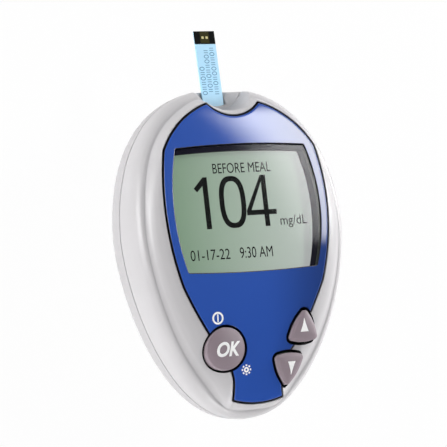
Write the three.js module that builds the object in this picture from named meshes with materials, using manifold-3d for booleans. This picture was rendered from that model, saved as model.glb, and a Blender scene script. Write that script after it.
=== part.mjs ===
// Blood glucose meter with a test strip in its port, lying on its back. Millimetres.
// +Z comes out of the display, +Y points to the strip port, +X is the right side seen from the front.
// The origin is under the middle of the whole outline, on the plane that the back rests on.
// Places in the casing are measured from the middle of its length and width.
import * as THREE from "three";
import { mergeVertices } from "three/addons/utils/BufferGeometryUtils.js";
import Module from "manifold-3d";

const wasm = await Module();
wasm.setup();

// Casing: an egg-shaped outline, widest above the middle, with a crowned front
const caseLength = 79;
const caseWidth = 56.6;
const caseHeight = 20.9;
const wall = 1.8;
const widestShare = 0.142;
const topHandleShares = [0.888, 0.3];
const bottomHandleShares = [0.307, 0.671];
const partingShare = 0.43;
const crownRadius = 177;
const crestShare = -0.062;
const backRoundInset = 5;
const backRoundPower = 2.4;
const creaseInset = 2.3;
const creaseDrop = 3.3;
const rimDrop = 0.35;
const lipHeight = 0.6;
const lipThickness = 0.7;
const fitGap = 0.3;
const overrun = 1;

// Face panel, as shares of half the casing's width and half its length
const panelThickness = 1.2;
const panelFootShares = [0.228, -0.878];
const panelNeckShares = [0.219, -0.76];
const panelWaistShares = [0.35, -0.572];
const panelHipShares = [0.647, -0.197];
const panelShoulderShares = [0.702, 0.615];
const panelPeakShares = [0.244, 0.89];
const panelFootBulge = 1;
const panelNeckBulge = -0.1;
const panelWaistBulge = -0.6;
const panelHipBulge = 0.4;
const panelSideBulge = 2.18;
const panelShoulderBulge = 1.7;
const panelNotchDepth = 3.05;

// Display: window in the panel, dark bezel under it, glass tilted along the crown
const windowTopShares = [0.603, 0.624];
const windowBottomShares = [0.602, -0.111];
const windowSideBulge = 2.24;
const windowTopBulge = 0.66;
const windowBottomBulge = 0.5;
const bezelRim = 0.8;
const bezelTopInset = 1.4;
const bezelSideInset = 0.2;
const displayDepthShare = 0.1962;
const glassThicknessShare = 0.0957;
const glassMargin = 0.7;
const glassLedge = 3.2;
const glassCornerCut = 3.5;
const guideMargin = 1.5;
const connectorDepth = 1.7;
const connectorInset = 3;
const ledSize = [1.2, 3, 1];

// Buttons: a round one on the left and two rounded triangles on the right
const buttonTravel = 0.6;
const buttonGap = 0.55;
const buttonStemRadius = 1.8;
const buttonSkirt = 3.4;
const okShares = [-0.299, -0.571];
const okRadiusShare = 0.1784;
const okRimRise = 0.1;
const okDomeRise = 0.9;
const arrowRimRise = 0.5;
const arrowDomeRise = 1.1;
const arrowCornerShare = 0.0424;
const arrowBulgeShare = 0.0124;
const arrowTipReachShare = 0.12;
const arrowBaseReachShare = 0.0618;
const arrowBaseHalfShare = 0.0972;
const arrowTipShiftShare = 0.0212;
const upShares = [0.43, -0.488];
const downShares = [0.29, -0.702];
const domeRadius = 2.4;
const domeHeight = 0.7;
const domeThickness = 0.15;
const membraneThickness = 1;
const membraneTopShare = -0.243;

// Circuit board, above the parting plane
const boardTopShare = 0.537;
const boardThickness = 1;
const boardInset = 3.4;
const boardSink = 0.9;
const chipSize = [9, 9, 1.2];
const chipShare = -0.36;

// Strip port: a scoop in the top end, with a slot at its floor
const scoopCentreRise = 3;
const scoopHalfWidth = 7.9;
const scoopReach = 8.8;
const scoopDepth = 12.2;
const scoopTopDrop = 3.4;
const scoopPlanPower = 2.3;
const scoopFloorPower = 3;
const stripWidth = 5.5;
const stripLength = 28;
const stripThickness = 0.4;
const stripTiltDegrees = 6.7;
const stripReachShare = 0.525;
const stripRimShare = 0.706;
const slotSideGap = 0.35;
const slotTopGap = 0.75;
const portWidth = 11;
const portFront = 7.2;
const portDepthShare = 0.3143;
const portFloor = 1.2;
const portRoof = 2.1;
const contactWidth = 0.8;
const contactPitch = 1.7;
const contactThickness = 0.25;

// Coin cells, tray and door in the back
const cellRadiusShare = 0.3534;
const cellThickness = 3.2;
const cellSideGap = 1.2;
const cellBevel = 0.4;
const bayShare = 0.05;
const doorMargin = 0.6;
const doorThickness = 1.5;
const doorRecess = 0.2;
const doorCornerRadius = 9;
const doorHookWidth = 3;
const doorHookPitch = 7;
const doorHookReach = 2.3;
const doorHookThickness = 0.9;
const doorHookRoot = 0.9;
const thumbRadius = 6;
const thumbDepth = 0.9;
const thumbHalfWidth = 3.5;
const trayWall = 1.2;
const trayRoof = 1;
const leafRoom = 0.7;
const leafWidth = 3;
const leafThickness = 0.25;
const leafReachShare = 0.85;
const railThickness = 0.25;
const slitGap = 0.3;

// Screws, data jack and label
const screwRadius = 1;
const screwHeadRadius = 2;
const screwHeadHeight = 1.3;
const screwHeadRecess = 2;
const screwEngagement = 3.2;
const socketDepth = 0.7;
const socketRadius = 0.9;
const bossRadius = 2.6;
const postRadius = 2.3;
const screwShares = [
  [0.406, 0.742],
  [0.618, -0.36],
];
const jackWidth = 6.4;
const jackLength = 10;
const jackHeightShare = 0.225;
const jackSleeveRadius = 2.4;
const jackBoreRadius = 1.3;
const jackSleeveLength = 1.5;
const labelWidth = 19;
const labelHeight = 10;
const labelThickness = 0.2;
const labelCornerRadius = 1.5;
const labelShare = -0.5;

// Counts of facets
const bandShares = [
  [0, 0],
  [0.01, 0.24],
  [0.11, 0.58],
  [0.38, 0.81],
  [0.72, 0.947],
  [1, 1],
];
const slopeShares = [
  [0.1, 0.04],
  [0.22, 0.19],
  [0.34, 0.39],
  [0.52, 0.62],
  [0.76, 0.84],
  [1, 1],
];
const backShares = [0, 0.06, 0.15, 0.3, 0.52, 0.76, 1];
const denseSteps = 240;
const crownSteps = 18;
const roundSteps = 24;
const smallSteps = 14;

// Heights and places that follow from the sizes above
const halfWidth = caseWidth / 2;
const halfLength = caseLength / 2;
const partingHeight = partingShare * caseHeight;
const displayDepth = displayDepthShare * caseHeight;
const glassThickness = glassThicknessShare * caseHeight;
const crestY = crestShare * halfLength;
const okRadius = okRadiusShare * halfWidth;
const arrowCornerRadius = arrowCornerShare * halfWidth;
const arrowBulge = arrowBulgeShare * halfWidth;
const arrowTipReach = arrowTipReachShare * halfWidth;
const arrowBaseReach = arrowBaseReachShare * halfWidth;
const arrowBaseHalf = arrowBaseHalfShare * halfWidth;
const arrowTipShift = arrowTipShiftShare * halfWidth;
const cellRadius = cellRadiusShare * halfWidth;
const cellPitch = 2 * cellRadius + cellSideGap;
const stripReach = stripReachShare * stripLength;
const stripRimHeight = stripRimShare * partingHeight;
const portDepth = portDepthShare * stripLength;
const stripTilt = THREE.MathUtils.degToRad(stripTiltDegrees);
const boardTop = boardTopShare * caseHeight;
const boardBottom = boardTop - boardThickness;
const doorTop = doorRecess + doorThickness;
const cellBottom = doorTop + fitGap;
const cellTop = cellBottom + cellThickness;
const trayBottom = wall + fitGap;
const trayCeiling = cellTop + leafRoom;
const bayY = bayShare * halfLength;

const faceTop = (y) => caseHeight - (y - crestY) ** 2 / (2 * crownRadius);
const onCase = ([xShare, yShare]) => new THREE.Vector2(xShare * halfWidth, yShare * halfLength);

// Solids and meshes

function toSolid(geometry) {
  const bare = geometry.index ? geometry.toNonIndexed() : geometry.clone();
  bare.deleteAttribute("normal");
  bare.deleteAttribute("uv");
  const merged = mergeVertices(bare, 1e-4);
  return new wasm.Manifold(
    new wasm.Mesh({
      numProp: 3,
      vertProperties: new Float32Array(merged.attributes.position.array),
      triVerts: new Uint32Array(merged.index.array),
    }),
  );
}

function toGeometry(solid) {
  const mesh = solid.getMesh();
  const geometry = new THREE.BufferGeometry();
  geometry.setAttribute("position", new THREE.BufferAttribute(mesh.vertProperties, 3));
  geometry.setIndex(new THREE.BufferAttribute(mesh.triVerts, 1));
  const flat = geometry.toNonIndexed();
  flat.computeVertexNormals();
  return flat;
}

const cutAway = (solid, ...cutters) => cutters.reduce((left, cutter) => left.subtract(cutter), solid);
const joinAll = (solid, ...others) => others.reduce((whole, other) => whole.add(other), solid);

// A solid through a stack of rings with equal point counts, each running anticlockwise seen from above
function loft(rings) {
  const count = rings[0].length;
  const positions = rings.flat().flatMap((point) => [point.x, point.y, point.z]);
  const triangles = [];
  for (let level = 0; level + 1 < rings.length; level++) {
    for (let i = 0; i < count; i++) {
      const a = level * count + i;
      const b = level * count + ((i + 1) % count);
      triangles.push(a, b, b + count, a, b + count, a + count);
    }
  }
  const last = (rings.length - 1) * count;
  const flatten = (ring) => ring.map((point) => new THREE.Vector2(point.x, point.y));
  for (const [a, b, c] of THREE.ShapeUtils.triangulateShape(flatten(rings[0]), [])) {
    triangles.push(c, b, a);
  }
  for (const [a, b, c] of THREE.ShapeUtils.triangulateShape(flatten(rings.at(-1)), [])) {
    triangles.push(last + a, last + b, last + c);
  }
  const geometry = new THREE.BufferGeometry();
  geometry.setAttribute("position", new THREE.Float32BufferAttribute(positions, 3));
  geometry.setIndex(triangles);
  return toSolid(geometry);
}

const lift = (path, height) =>
  path.map((point) => new THREE.Vector3(point.x, point.y, typeof height === "function" ? height(point.y) : height));
const prism = (path, bottom, top) => loft([lift(path, bottom), lift(path, top)]);

function box(width, depth, bottom, top, x = 0, y = 0) {
  const geometry = new THREE.BoxGeometry(width, depth, top - bottom);
  return toSolid(geometry.translate(x, y, (top + bottom) / 2));
}

function cylinder(radius, bottom, top, x = 0, y = 0, steps = smallSteps) {
  const geometry = new THREE.CylinderGeometry(radius, radius, top - bottom, steps);
  geometry.rotateX(Math.PI / 2);
  return toSolid(geometry.translate(x, y, (top + bottom) / 2));
}

// A lathe profile of [radius, height] pairs, turned about a line along Z
function turned(profile, x = 0, y = 0, steps = roundSteps) {
  const geometry = new THREE.LatheGeometry(
    profile.map(([radius, height]) => new THREE.Vector2(radius, height)),
    steps,
  );
  geometry.rotateX(Math.PI / 2);
  const solid = toSolid(geometry);
  return solid.translate([x, y, 0]);
}

// A profile in the plane of Y and Z, run along X
function alongX(profile, width, x = 0) {
  const shape = new THREE.Shape(profile.map(([y, z]) => new THREE.Vector2(y, z)));
  const geometry = new THREE.ExtrudeGeometry(shape, { depth: width, bevelEnabled: false });
  geometry.translate(0, 0, -width / 2);
  const turn = new THREE.Matrix4().makeBasis(
    new THREE.Vector3(0, 1, 0),
    new THREE.Vector3(0, 0, 1),
    new THREE.Vector3(1, 0, 0),
  );
  geometry.applyMatrix4(turn);
  return toSolid(geometry.translate(x, 0, 0));
}

// Everything that lies lower than the crowned face by at least the depth
function underFace(depth) {
  const reach = halfLength + scoopReach;
  const profile = [];
  for (let i = 0; i <= crownSteps; i++) {
    const y = reach - (2 * reach * i) / crownSteps;
    profile.push([y, faceTop(y) - depth]);
  }
  profile.push([-reach, -caseHeight], [reach, -caseHeight]);
  return alongX(profile, caseWidth + 2 * overrun);
}

// Outlines

// Points after a, up to b, on an arc that bulges to the right of the way from a to b
function arcTo(a, b, bulge, steps) {
  const along = b.clone().sub(a);
  const chord = along.length();
  along.normalize();
  const right = new THREE.Vector2(along.y, -along.x);
  const middle = a.clone().add(b).divideScalar(2);
  const angle = 4 * Math.atan((2 * bulge) / chord);
  const radius = bulge === 0 ? 0 : chord / 2 / Math.sin(angle / 2);
  const points = [];
  for (let i = 1; i <= steps; i++) {
    const turn = angle * (i / steps - 1 / 2);
    const forward = bulge === 0 ? chord * (i / steps - 1 / 2) : radius * Math.sin(turn);
    const outward = bulge === 0 ? 0 : radius * (Math.cos(turn) - Math.cos(angle / 2));
    points.push(middle.clone().addScaledVector(along, forward).addScaledVector(right, outward));
  }
  return points;
}

// A closed anticlockwise path, alike on both sides of the Y axis. The right side runs upwards,
// and each of its corners tells how the arc that leads to it bulges.
function mirroredPath(right, topBulge, topSteps) {
  const mirrored = (corner) => new THREE.Vector2(-corner.at.x, corner.at.y);
  const path = [];
  let from = mirrored(right[0]);
  for (const corner of right) {
    path.push(...arcTo(from, corner.at, corner.bulge, corner.steps));
    from = corner.at;
  }
  path.push(...arcTo(from, mirrored(right.at(-1)), topBulge, topSteps));
  for (let i = right.length - 1; i > 0; i--) {
    path.push(...arcTo(mirrored(right[i]), mirrored(right[i - 1]), right[i].bulge, right[i].steps));
  }
  return path;
}

// The path moved outwards by a distance, or inwards by a negative one
function grow(path, distance) {
  return path.map((point, i) => {
    const before = path.at(i - 1);
    const after = path[(i + 1) % path.length];
    const normalIn = new THREE.Vector2(point.y - before.y, before.x - point.x).normalize();
    const normalOut = new THREE.Vector2(after.y - point.y, point.x - after.x).normalize();
    const bisector = normalIn.clone().add(normalOut).normalize();
    return point.clone().addScaledVector(bisector, distance / Math.max(bisector.dot(normalIn), 1 / 2));
  });
}

function circlePath(radius, x, y, steps = roundSteps) {
  const path = [];
  for (let i = 0; i < steps; i++) {
    const angle = (2 * Math.PI * i) / steps;
    path.push(new THREE.Vector2(x + radius * Math.cos(angle), y + radius * Math.sin(angle)));
  }
  return path;
}

function roundedRectangle(width, height, radius, y = 0, steps = 6) {
  const path = [];
  const corners = [
    [1, -1, -1 / 4],
    [1, 1, 0],
    [-1, 1, 1 / 4],
    [-1, -1, 1 / 2],
  ];
  for (const [signX, signY, start] of corners) {
    for (let i = 0; i <= steps; i++) {
      const angle = 2 * Math.PI * (start + i / steps / 4);
      path.push(
        new THREE.Vector2(
          signX * (width / 2 - radius) + radius * Math.cos(angle),
          y + signY * (height / 2 - radius) + radius * Math.sin(angle),
        ),
      );
    }
  }
  return path;
}

// A rectangle whose two upper corners are cut off
function cutCornerPath(halfX, low, high, cut) {
  return [
    new THREE.Vector2(-halfX, low),
    new THREE.Vector2(halfX, low),
    new THREE.Vector2(halfX, high - cut),
    new THREE.Vector2(halfX - cut, high),
    new THREE.Vector2(cut - halfX, high),
    new THREE.Vector2(-halfX, high - cut),
  ];
}

// The casing's outline on the parting plane, as closely spaced points running anticlockwise
function caseOutline() {
  const widestY = widestShare * halfLength;
  const top = new THREE.CubicBezierCurve(
    new THREE.Vector2(halfWidth, widestY),
    new THREE.Vector2(halfWidth, widestY + topHandleShares[1] * (halfLength - widestY)),
    new THREE.Vector2(topHandleShares[0] * halfWidth, halfLength),
    new THREE.Vector2(0, halfLength),
  );
  const bottom = new THREE.CubicBezierCurve(
    new THREE.Vector2(0, -halfLength),
    new THREE.Vector2(bottomHandleShares[1] * halfWidth, -halfLength),
    new THREE.Vector2(halfWidth, widestY - bottomHandleShares[0] * (halfLength + widestY)),
    new THREE.Vector2(halfWidth, widestY),
  );
  const right = [...bottom.getPoints(denseSteps).slice(0, -1), ...top.getPoints(denseSteps)];
  const left = right
    .slice(1, -1)
    .reverse()
    .map((point) => new THREE.Vector2(-point.x, point.y));
  return [...right, ...left];
}

const panelPath = mirroredPath(
  [
    { at: onCase(panelFootShares), bulge: panelFootBulge, steps: 6 },
    { at: onCase(panelNeckShares), bulge: panelNeckBulge, steps: 2 },
    { at: onCase(panelWaistShares), bulge: panelWaistBulge, steps: 4 },
    { at: onCase(panelHipShares), bulge: panelHipBulge, steps: 5 },
    { at: onCase(panelShoulderShares), bulge: panelSideBulge, steps: 10 },
    { at: onCase(panelPeakShares), bulge: panelShoulderBulge, steps: 7 },
  ],
  -panelNotchDepth,
  8,
);

const windowTop = onCase(windowTopShares);
const windowBottom = onCase(windowBottomShares);
const windowPath = mirroredPath(
  [
    { at: windowBottom, bulge: windowBottomBulge, steps: 6 },
    { at: windowTop, bulge: windowSideBulge, steps: 10 },
  ],
  windowTopBulge,
  6,
);

const outline = caseOutline();

// Where a line from a point on the casing's middle line, through a point of the face, meets the outline
function outlineBeyond(point) {
  const start = new THREE.Vector2(0, point.y * 0.6);
  const direction = point.clone().sub(start).normalize();
  const side = (p) => direction.x * (p.y - start.y) - direction.y * (p.x - start.x);
  for (let i = 0; i < outline.length; i++) {
    const a = outline[i];
    const b = outline[(i + 1) % outline.length];
    const sideA = side(a);
    const sideB = side(b);
    const ahead = a.clone().sub(start).dot(direction) > 0;
    if (ahead && sideA <= 0 && sideB > 0) {
      const normal = new THREE.Vector2(b.y - a.y, a.x - b.x).normalize();
      return { at: a.clone().lerp(b, sideA / (sideA - sideB)), normal };
    }
  }
  throw new Error("a point of the face lies outside the casing");
}

// The rings of the casing all carry one point for each point of the face panel's outline
const outlineRays = panelPath.map(outlineBeyond);
const inset = (distance) => outlineRays.map(({ at, normal }) => at.clone().addScaledVector(normal, -distance));

// Casing

const creaseHeight = (y) => faceTop(y) - creaseDrop;
const bandHeight = (share) => (y) => partingHeight + share * (creaseHeight(y) - partingHeight);

function scoop(extra) {
  const centreY = halfLength + scoopCentreRise;
  const centreZ = caseHeight - scoopTopDrop;
  const planShares = [0.3, 0.5, 0.68, 0.8, 0.89, 0.95, 0.985, 1];
  const rings = planShares.map((share) => {
    const drop = (1 - share ** scoopFloorPower) ** (1 / scoopFloorPower);
    return planRing(share, centreZ - (scoopDepth + extra) * drop);
  });
  rings.push(planRing(1, caseHeight + overrun));
  return loft(rings);

  function planRing(share, height) {
    const ring = [];
    for (let i = 0; i < roundSteps + 8; i++) {
      const angle = (2 * Math.PI * i) / (roundSteps + 8);
      const round = (value) => Math.sign(value) * Math.abs(value) ** (2 / scoopPlanPower);
      const x = share * (scoopHalfWidth + extra) * round(Math.cos(angle));
      const y = centreY + share * (scoopReach + extra) * round(Math.sin(angle));
      ring.push(new THREE.Vector3(x, y, height));
    }
    return ring;
  }
}

const scoopCut = scoop(0);
const scoopShell = scoop(wall);

const screwPlaces = screwShares.flatMap((shares) => {
  const place = onCase(shares);
  return [place, new THREE.Vector2(-place.x, place.y)];
});

function buttonPath({ x, y }, tipSign, margin) {
  const corners = [
    new THREE.Vector2(x + arrowTipShift * tipSign, y + arrowTipReach * tipSign),
    new THREE.Vector2(x - arrowBaseHalf * tipSign, y - arrowBaseReach * tipSign),
    new THREE.Vector2(x + arrowBaseHalf * tipSign, y - arrowBaseReach * tipSign),
  ];
  const path = [];
  corners.forEach((corner, i) => {
    const before = corners.at(i - 1);
    const after = corners[(i + 1) % corners.length];
    const normalIn = new THREE.Vector2(corner.y - before.y, before.x - corner.x).normalize();
    const normalOut = new THREE.Vector2(after.y - corner.y, corner.x - after.x).normalize();
    const radius = arrowCornerRadius + margin;
    const start = corner.clone().addScaledVector(normalIn, radius);
    const end = corner.clone().addScaledVector(normalOut, radius);
    const startAngle = Math.atan2(normalIn.y, normalIn.x);
    let sweep = Math.atan2(normalOut.y, normalOut.x) - startAngle;
    if (sweep < 0) sweep += 2 * Math.PI;
    path.push(start);
    for (let step = 1; step < 5; step++) {
      const angle = startAngle + (sweep * step) / 5;
      path.push(corner.clone().add(new THREE.Vector2(Math.cos(angle), Math.sin(angle)).multiplyScalar(radius)));
    }
    path.push(end);
    const next = after.clone().addScaledVector(normalOut, radius);
    path.push(...arcTo(end, next, arrowBulge, 4).slice(0, -1));
  });
  return path;
}

const okPlace = onCase(okShares);
const upPlace = onCase(upShares);
const downPlace = onCase(downShares);
const buttons = [
  {
    name: "ok",
    place: okPlace,
    path: (margin) => circlePath(okRadius + margin, okPlace.x, okPlace.y),
    rimRise: okRimRise,
    domeRise: okDomeRise,
  },
  {
    name: "up",
    place: upPlace,
    path: (margin) => buttonPath(upPlace, 1, margin),
    rimRise: arrowRimRise,
    domeRise: arrowDomeRise,
  },
  {
    name: "down",
    place: downPlace,
    path: (margin) => buttonPath(downPlace, -1, margin),
    rimRise: arrowRimRise,
    domeRise: arrowDomeRise,
  },
];
const buttonHoles = buttons.map(({ path }) => prism(path(buttonGap), boardTop, caseHeight + 2 * overrun));

// The front shell: a stepped band round the side, then a slope up to the face panel's edge
function frontOuter() {
  const crease = inset(creaseInset);
  const panelEdge = grow(panelPath, fitGap);
  const rings = bandShares.map(([insetShare, heightShare]) => {
    const ring = inset(insetShare * creaseInset);
    return heightShare === 0 ? lift(ring, partingHeight + fitGap / 2) : lift(ring, bandHeight(heightShare));
  });
  for (const [share, riseShare] of slopeShares) {
    const ring = crease.map((point, i) => point.clone().lerp(panelEdge[i], share));
    rings.push(lift(ring, (y) => creaseHeight(y) + riseShare * (creaseDrop - rimDrop)));
  }
  rings.push(lift(grow(panelPath, -fitGap), (y) => faceTop(y) - rimDrop));
  const core = prism(grow(panelPath, -fitGap), boardTop, caseHeight).intersect(underFace(rimDrop));
  return loft(rings).add(core);
}

function frontCavity() {
  const webDepth = panelThickness + fitGap + wall - fitGap;
  const rings = [
    lift(inset(lipThickness), partingHeight - overrun),
    lift(inset(lipThickness), partingHeight + fitGap + lipHeight),
    lift(inset(wall), partingHeight + fitGap + lipHeight),
    lift(inset(wall + fitGap), bandHeight(bandShares[2][1])),
    lift(inset(wall + creaseInset / 3), bandHeight((bandShares[2][1] + bandShares[3][1]) / 2)),
    lift(inset(wall + creaseInset - fitGap), bandHeight(bandShares[3][1])),
    lift(inset(wall + creaseInset - fitGap), caseHeight),
  ];
  return loft(rings).intersect(underFace(webDepth)).subtract(scoopShell);
}

function frontCase() {
  const seat = prism(grow(panelPath, fitGap), partingHeight, caseHeight + overrun).subtract(
    underFace(panelThickness + fitGap),
  );
  const opening = prism(grow(windowPath, bezelRim + fitGap), partingHeight, caseHeight + overrun);
  let shell = cutAway(frontOuter(), seat, frontCavity());
  const webBottom = (y) => faceTop(y) - panelThickness - wall + fitGap;
  for (const { x, y } of screwPlaces) {
    shell = shell.add(cylinder(postRadius, boardTop + fitGap, webBottom(y), x, y));
  }
  for (const { x, y } of screwPlaces) {
    const depth = boardTop + screwEngagement + fitGap;
    shell = shell.subtract(cylinder(screwRadius + slitGap, boardTop, depth, x, y));
  }
  return cutAway(shell, opening, ...buttonHoles, scoopCut);
}

const backInset = (heightShare) =>
  backRoundInset * (1 - (1 - (1 - heightShare) ** backRoundPower) ** (1 / backRoundPower));

const doorWidth = cellPitch + 2 * (cellRadius + doorMargin);
const doorHeight = 2 * (cellRadius + 2 * doorMargin + doorHookRoot - fitGap);
const bayPath = (margin) =>
  roundedRectangle(doorWidth + 2 * margin, doorHeight + 2 * margin, doorCornerRadius + margin, bayY);

const jackY = -halfLength + wall + jackSleeveLength + fitGap;
const jackZ = boardBottom - jackHeightShare * caseHeight;

function rearCase() {
  const top = partingHeight - fitGap / 2;
  const outer = loft(backShares.map((share) => lift(inset(backInset(share)), share * top)));
  const innerShares = backShares.filter((share) => share * top > wall + fitGap);
  const inner = loft([
    lift(inset(wall + backInset(wall / top)), wall),
    ...innerShares.slice(0, -1).map((share) => lift(inset(wall + backInset(share)), share * top)),
    lift(inset(wall), top),
    lift(inset(wall), top + lipHeight + overrun),
  ]);
  const lip = loft([
    lift(inset(lipThickness + fitGap), top - fitGap),
    lift(inset(lipThickness + fitGap), top + lipHeight),
  ]);
  let shell = outer.subtract(inner.subtract(scoopShell)).add(cutAway(lip, inner, scoop(wall + fitGap)));
  for (const { x, y } of screwPlaces) {
    shell = shell.add(cylinder(bossRadius, wall / 2, boardBottom - fitGap, x, y));
  }
  for (const { x, y } of screwPlaces) {
    shell = shell.subtract(cylinder(screwRadius + slitGap, 0, boardBottom, x, y));
    shell = shell.subtract(
      cylinder(screwHeadRadius + slitGap, -overrun, screwHeadRecess + screwHeadHeight, x, y),
    );
  }
  const doorOpening = prism(bayPath(fitGap), -overrun, wall + overrun);
  const labelSeat = prism(
    roundedRectangle(labelWidth + fitGap, labelHeight + fitGap, labelCornerRadius, labelShare * halfLength),
    -overrun,
    labelThickness + fitGap,
  );
  const jackHole = alongY(jackSleeveRadius + fitGap, -halfLength - overrun, jackY + overrun, jackZ);
  return cutAway(shell, scoopCut, stripSlot(), doorOpening, thumbRest(), labelSeat, jackHole);
}

// A round bar along Y
function alongY(radius, from, to, z, x = 0) {
  const geometry = new THREE.CylinderGeometry(radius, radius, to - from, smallSteps);
  return toSolid(geometry.translate(x, (from + to) / 2, z));
}

// The hollow for a thumbnail at the free edge of the battery door
function thumbRest() {
  const geometry = new THREE.CylinderGeometry(thumbRadius, thumbRadius, 2 * thumbHalfWidth, roundSteps);
  geometry.rotateZ(Math.PI / 2);
  const edge = bayY - doorHeight / 2 - fitGap;
  return toSolid(geometry.translate(0, edge, thumbDepth - thumbRadius));
}

// Strip port

// The strip lies in a tilted frame whose origin is where its middle crosses the rim of the scoop
function inStripFrame(solid) {
  return solid.rotate([-stripTiltDegrees, 0, 0]).translate([0, halfLength, stripRimHeight]);
}

function stripSlot() {
  const reach = stripLength - stripReach + fitGap;
  const slot = box(
    stripWidth + 2 * slotSideGap,
    reach,
    -stripThickness / 2 - fitGap,
    stripThickness / 2 + slotTopGap,
    0,
    -reach / 2,
  );
  return inStripFrame(slot);
}

function testStrip() {
  const strip = box(stripWidth, stripLength, -stripThickness / 2, stripThickness / 2, 0, stripReach - stripLength / 2);
  return inStripFrame(strip);
}

const stripHeight = (y) => stripRimHeight + (halfLength - y) * Math.tan(stripTilt);
const portFace = halfLength - portFront;
const portRear = portFace - portDepth;

function stripPort() {
  const middle = (portFace + portRear) / 2;
  const bottom = stripHeight(portFace) - stripThickness - portFloor;
  const housing = box(portWidth, portDepth, bottom, boardBottom - fitGap, 0, middle);
  const room = box(
    2 * contactPitch + contactWidth + 2 * slitGap,
    portDepth - 2 * portFloor,
    stripHeight(portFace),
    boardBottom,
    0,
    middle - portFloor,
  );
  return cutAway(housing, stripSlot(), room);
}

// A sprung finger that comes down from the board and bears on the strip
function stripContact(x) {
  const back = portRear + portFloor / 2 + slitGap;
  const front = portFace - 2 * portFloor - slitGap;
  const clear = stripThickness / 2 + fitGap;
  const tip = front - portFloor;
  const top = boardBottom - fitGap;
  const touch = (y) => stripHeight(y) + clear;
  const high = (y) => (touch(y) + top) / 2;
  const t = contactThickness;
  const profile = [
    [back, top],
    [back, high(back)],
    [tip - portFloor, touch(tip)],
    [tip, touch(tip)],
    [front, touch(front) + clear],
    [front, touch(front) + clear + t],
    [tip, touch(tip) + t],
    [tip - portFloor, touch(tip) + t],
    [back + t, high(back) + t],
    [back + t, top],
  ];
  return alongX(profile, contactWidth, x);
}

// Face

function facePanel() {
  const sheet = prism(panelPath, partingHeight, caseHeight + overrun);
  const skin = sheet.intersect(underFace(0)).subtract(underFace(panelThickness));
  return cutAway(skin, prism(windowPath, partingHeight, caseHeight + overrun), ...buttonHoles);
}

function displayWindow() {
  const sheet = prism(grow(windowPath, -fitGap), partingHeight, caseHeight + overrun);
  return sheet.intersect(underFace(0)).subtract(underFace(panelThickness));
}

// The display lies parallel to the crowned face at the middle of the window
const windowMiddle = (windowTop.y + windowBottom.y) / 2;
const displaySlope = -(windowMiddle - crestY) / crownRadius;
const displayHeight = (y) => faceTop(windowMiddle) - displayDepth + displaySlope * (y - windowMiddle);
const glassHalf = windowTop.x + windowSideBulge + glassMargin;
const glassTopY = windowTop.y + glassMargin;
const glassBottomY = windowBottom.y - glassLedge;

function displayBezel() {
  const bottom = (y) => displayHeight(y) + fitGap;
  const below = (y) => displayHeight(y);
  const body = loft([
    lift(grow(windowPath, bezelRim), bottom),
    lift(grow(windowPath, bezelRim), () => caseHeight),
  ]).intersect(underFace(panelThickness + fitGap));
  const narrow = windowPath.map((point) => {
    const upper = (point.y - windowBottom.y) / (windowTop.y - windowBottom.y);
    const drop = THREE.MathUtils.clamp(upper, 0, 1) * bezelTopInset;
    return new THREE.Vector2(point.x * (1 - bezelSideInset / halfWidth), point.y - drop);
  });
  const funnel = loft([
    lift(narrow, below),
    lift(narrow, bottom),
    lift(windowPath, (y) => faceTop(y) - panelThickness - fitGap),
    lift(windowPath, caseHeight + overrun),
  ]);
  return body.subtract(funnel);
}

function displayGlass() {
  const path = cutCornerPath(glassHalf, glassBottomY, glassTopY, glassCornerCut);
  return loft([lift(path, (y) => displayHeight(y) - glassThickness), lift(path, displayHeight)]);
}

function backlightGuide() {
  const low = glassBottomY + connectorInset + fitGap;
  const path = cutCornerPath(glassHalf - guideMargin, low, glassTopY - fitGap, glassCornerCut);
  const top = (y) => displayHeight(y) - glassThickness - fitGap;
  return loft([lift(path, boardTop + fitGap), lift(path, top)]);
}

function displayConnector() {
  const high = glassBottomY + connectorInset - fitGap;
  const low = high - connectorDepth;
  const halfX = glassHalf - guideMargin;
  const path = [
    new THREE.Vector2(-halfX, low),
    new THREE.Vector2(halfX, low),
    new THREE.Vector2(halfX, high),
    new THREE.Vector2(-halfX, high),
  ];
  const top = (y) => displayHeight(y) - glassThickness - fitGap;
  return loft([lift(path, boardTop + fitGap), lift(path, top)]);
}

// Buttons

function buttonCap({ place, path, rimRise, domeRise }) {
  const roundShares = [
    [0, 0],
    [0.12, 0.45],
    [0.35, 0.8],
    [0.7, 1],
  ];
  const rim = path(0);
  const follow = (rise) => (y) => faceTop(y) + rise;
  const rings = [lift(rim, follow(-buttonSkirt)), lift(rim, follow(rimRise))];
  for (const [inShare, upShare] of roundShares.slice(1)) {
    const ring = rim.map((point) => point.clone().lerp(place, inShare));
    rings.push(lift(ring, follow(rimRise + upShare * (domeRise - rimRise))));
  }
  const stemBottom = boardTop + domeHeight + 2 * fitGap;
  const stem = cylinder(buttonStemRadius, stemBottom, faceTop(place.y) - buttonSkirt + wall / 2, place.x, place.y);
  return loft(rings).add(stem);
}

// A thin sprung disc on the board, domed towards the button's stem
function snapDome(place) {
  const steps = 3;
  const arc = (radius, height) => {
    const points = [];
    for (let i = 0; i <= steps; i++) {
      const share = i / steps;
      points.push([radius * share, height * (1 - share * share)]);
    }
    return points;
  };
  const base = boardTop + fitGap;
  const outer = arc(domeRadius, domeHeight).map(([radius, height]) => [radius, base + height]);
  const inner = arc(domeRadius - domeThickness, domeHeight - domeThickness).map(([radius, height]) => [
    radius,
    base + height,
  ]);
  const profile = [...inner, ...outer.reverse()];
  return turned(profile, place.x, place.y, smallSteps);
}

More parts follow.
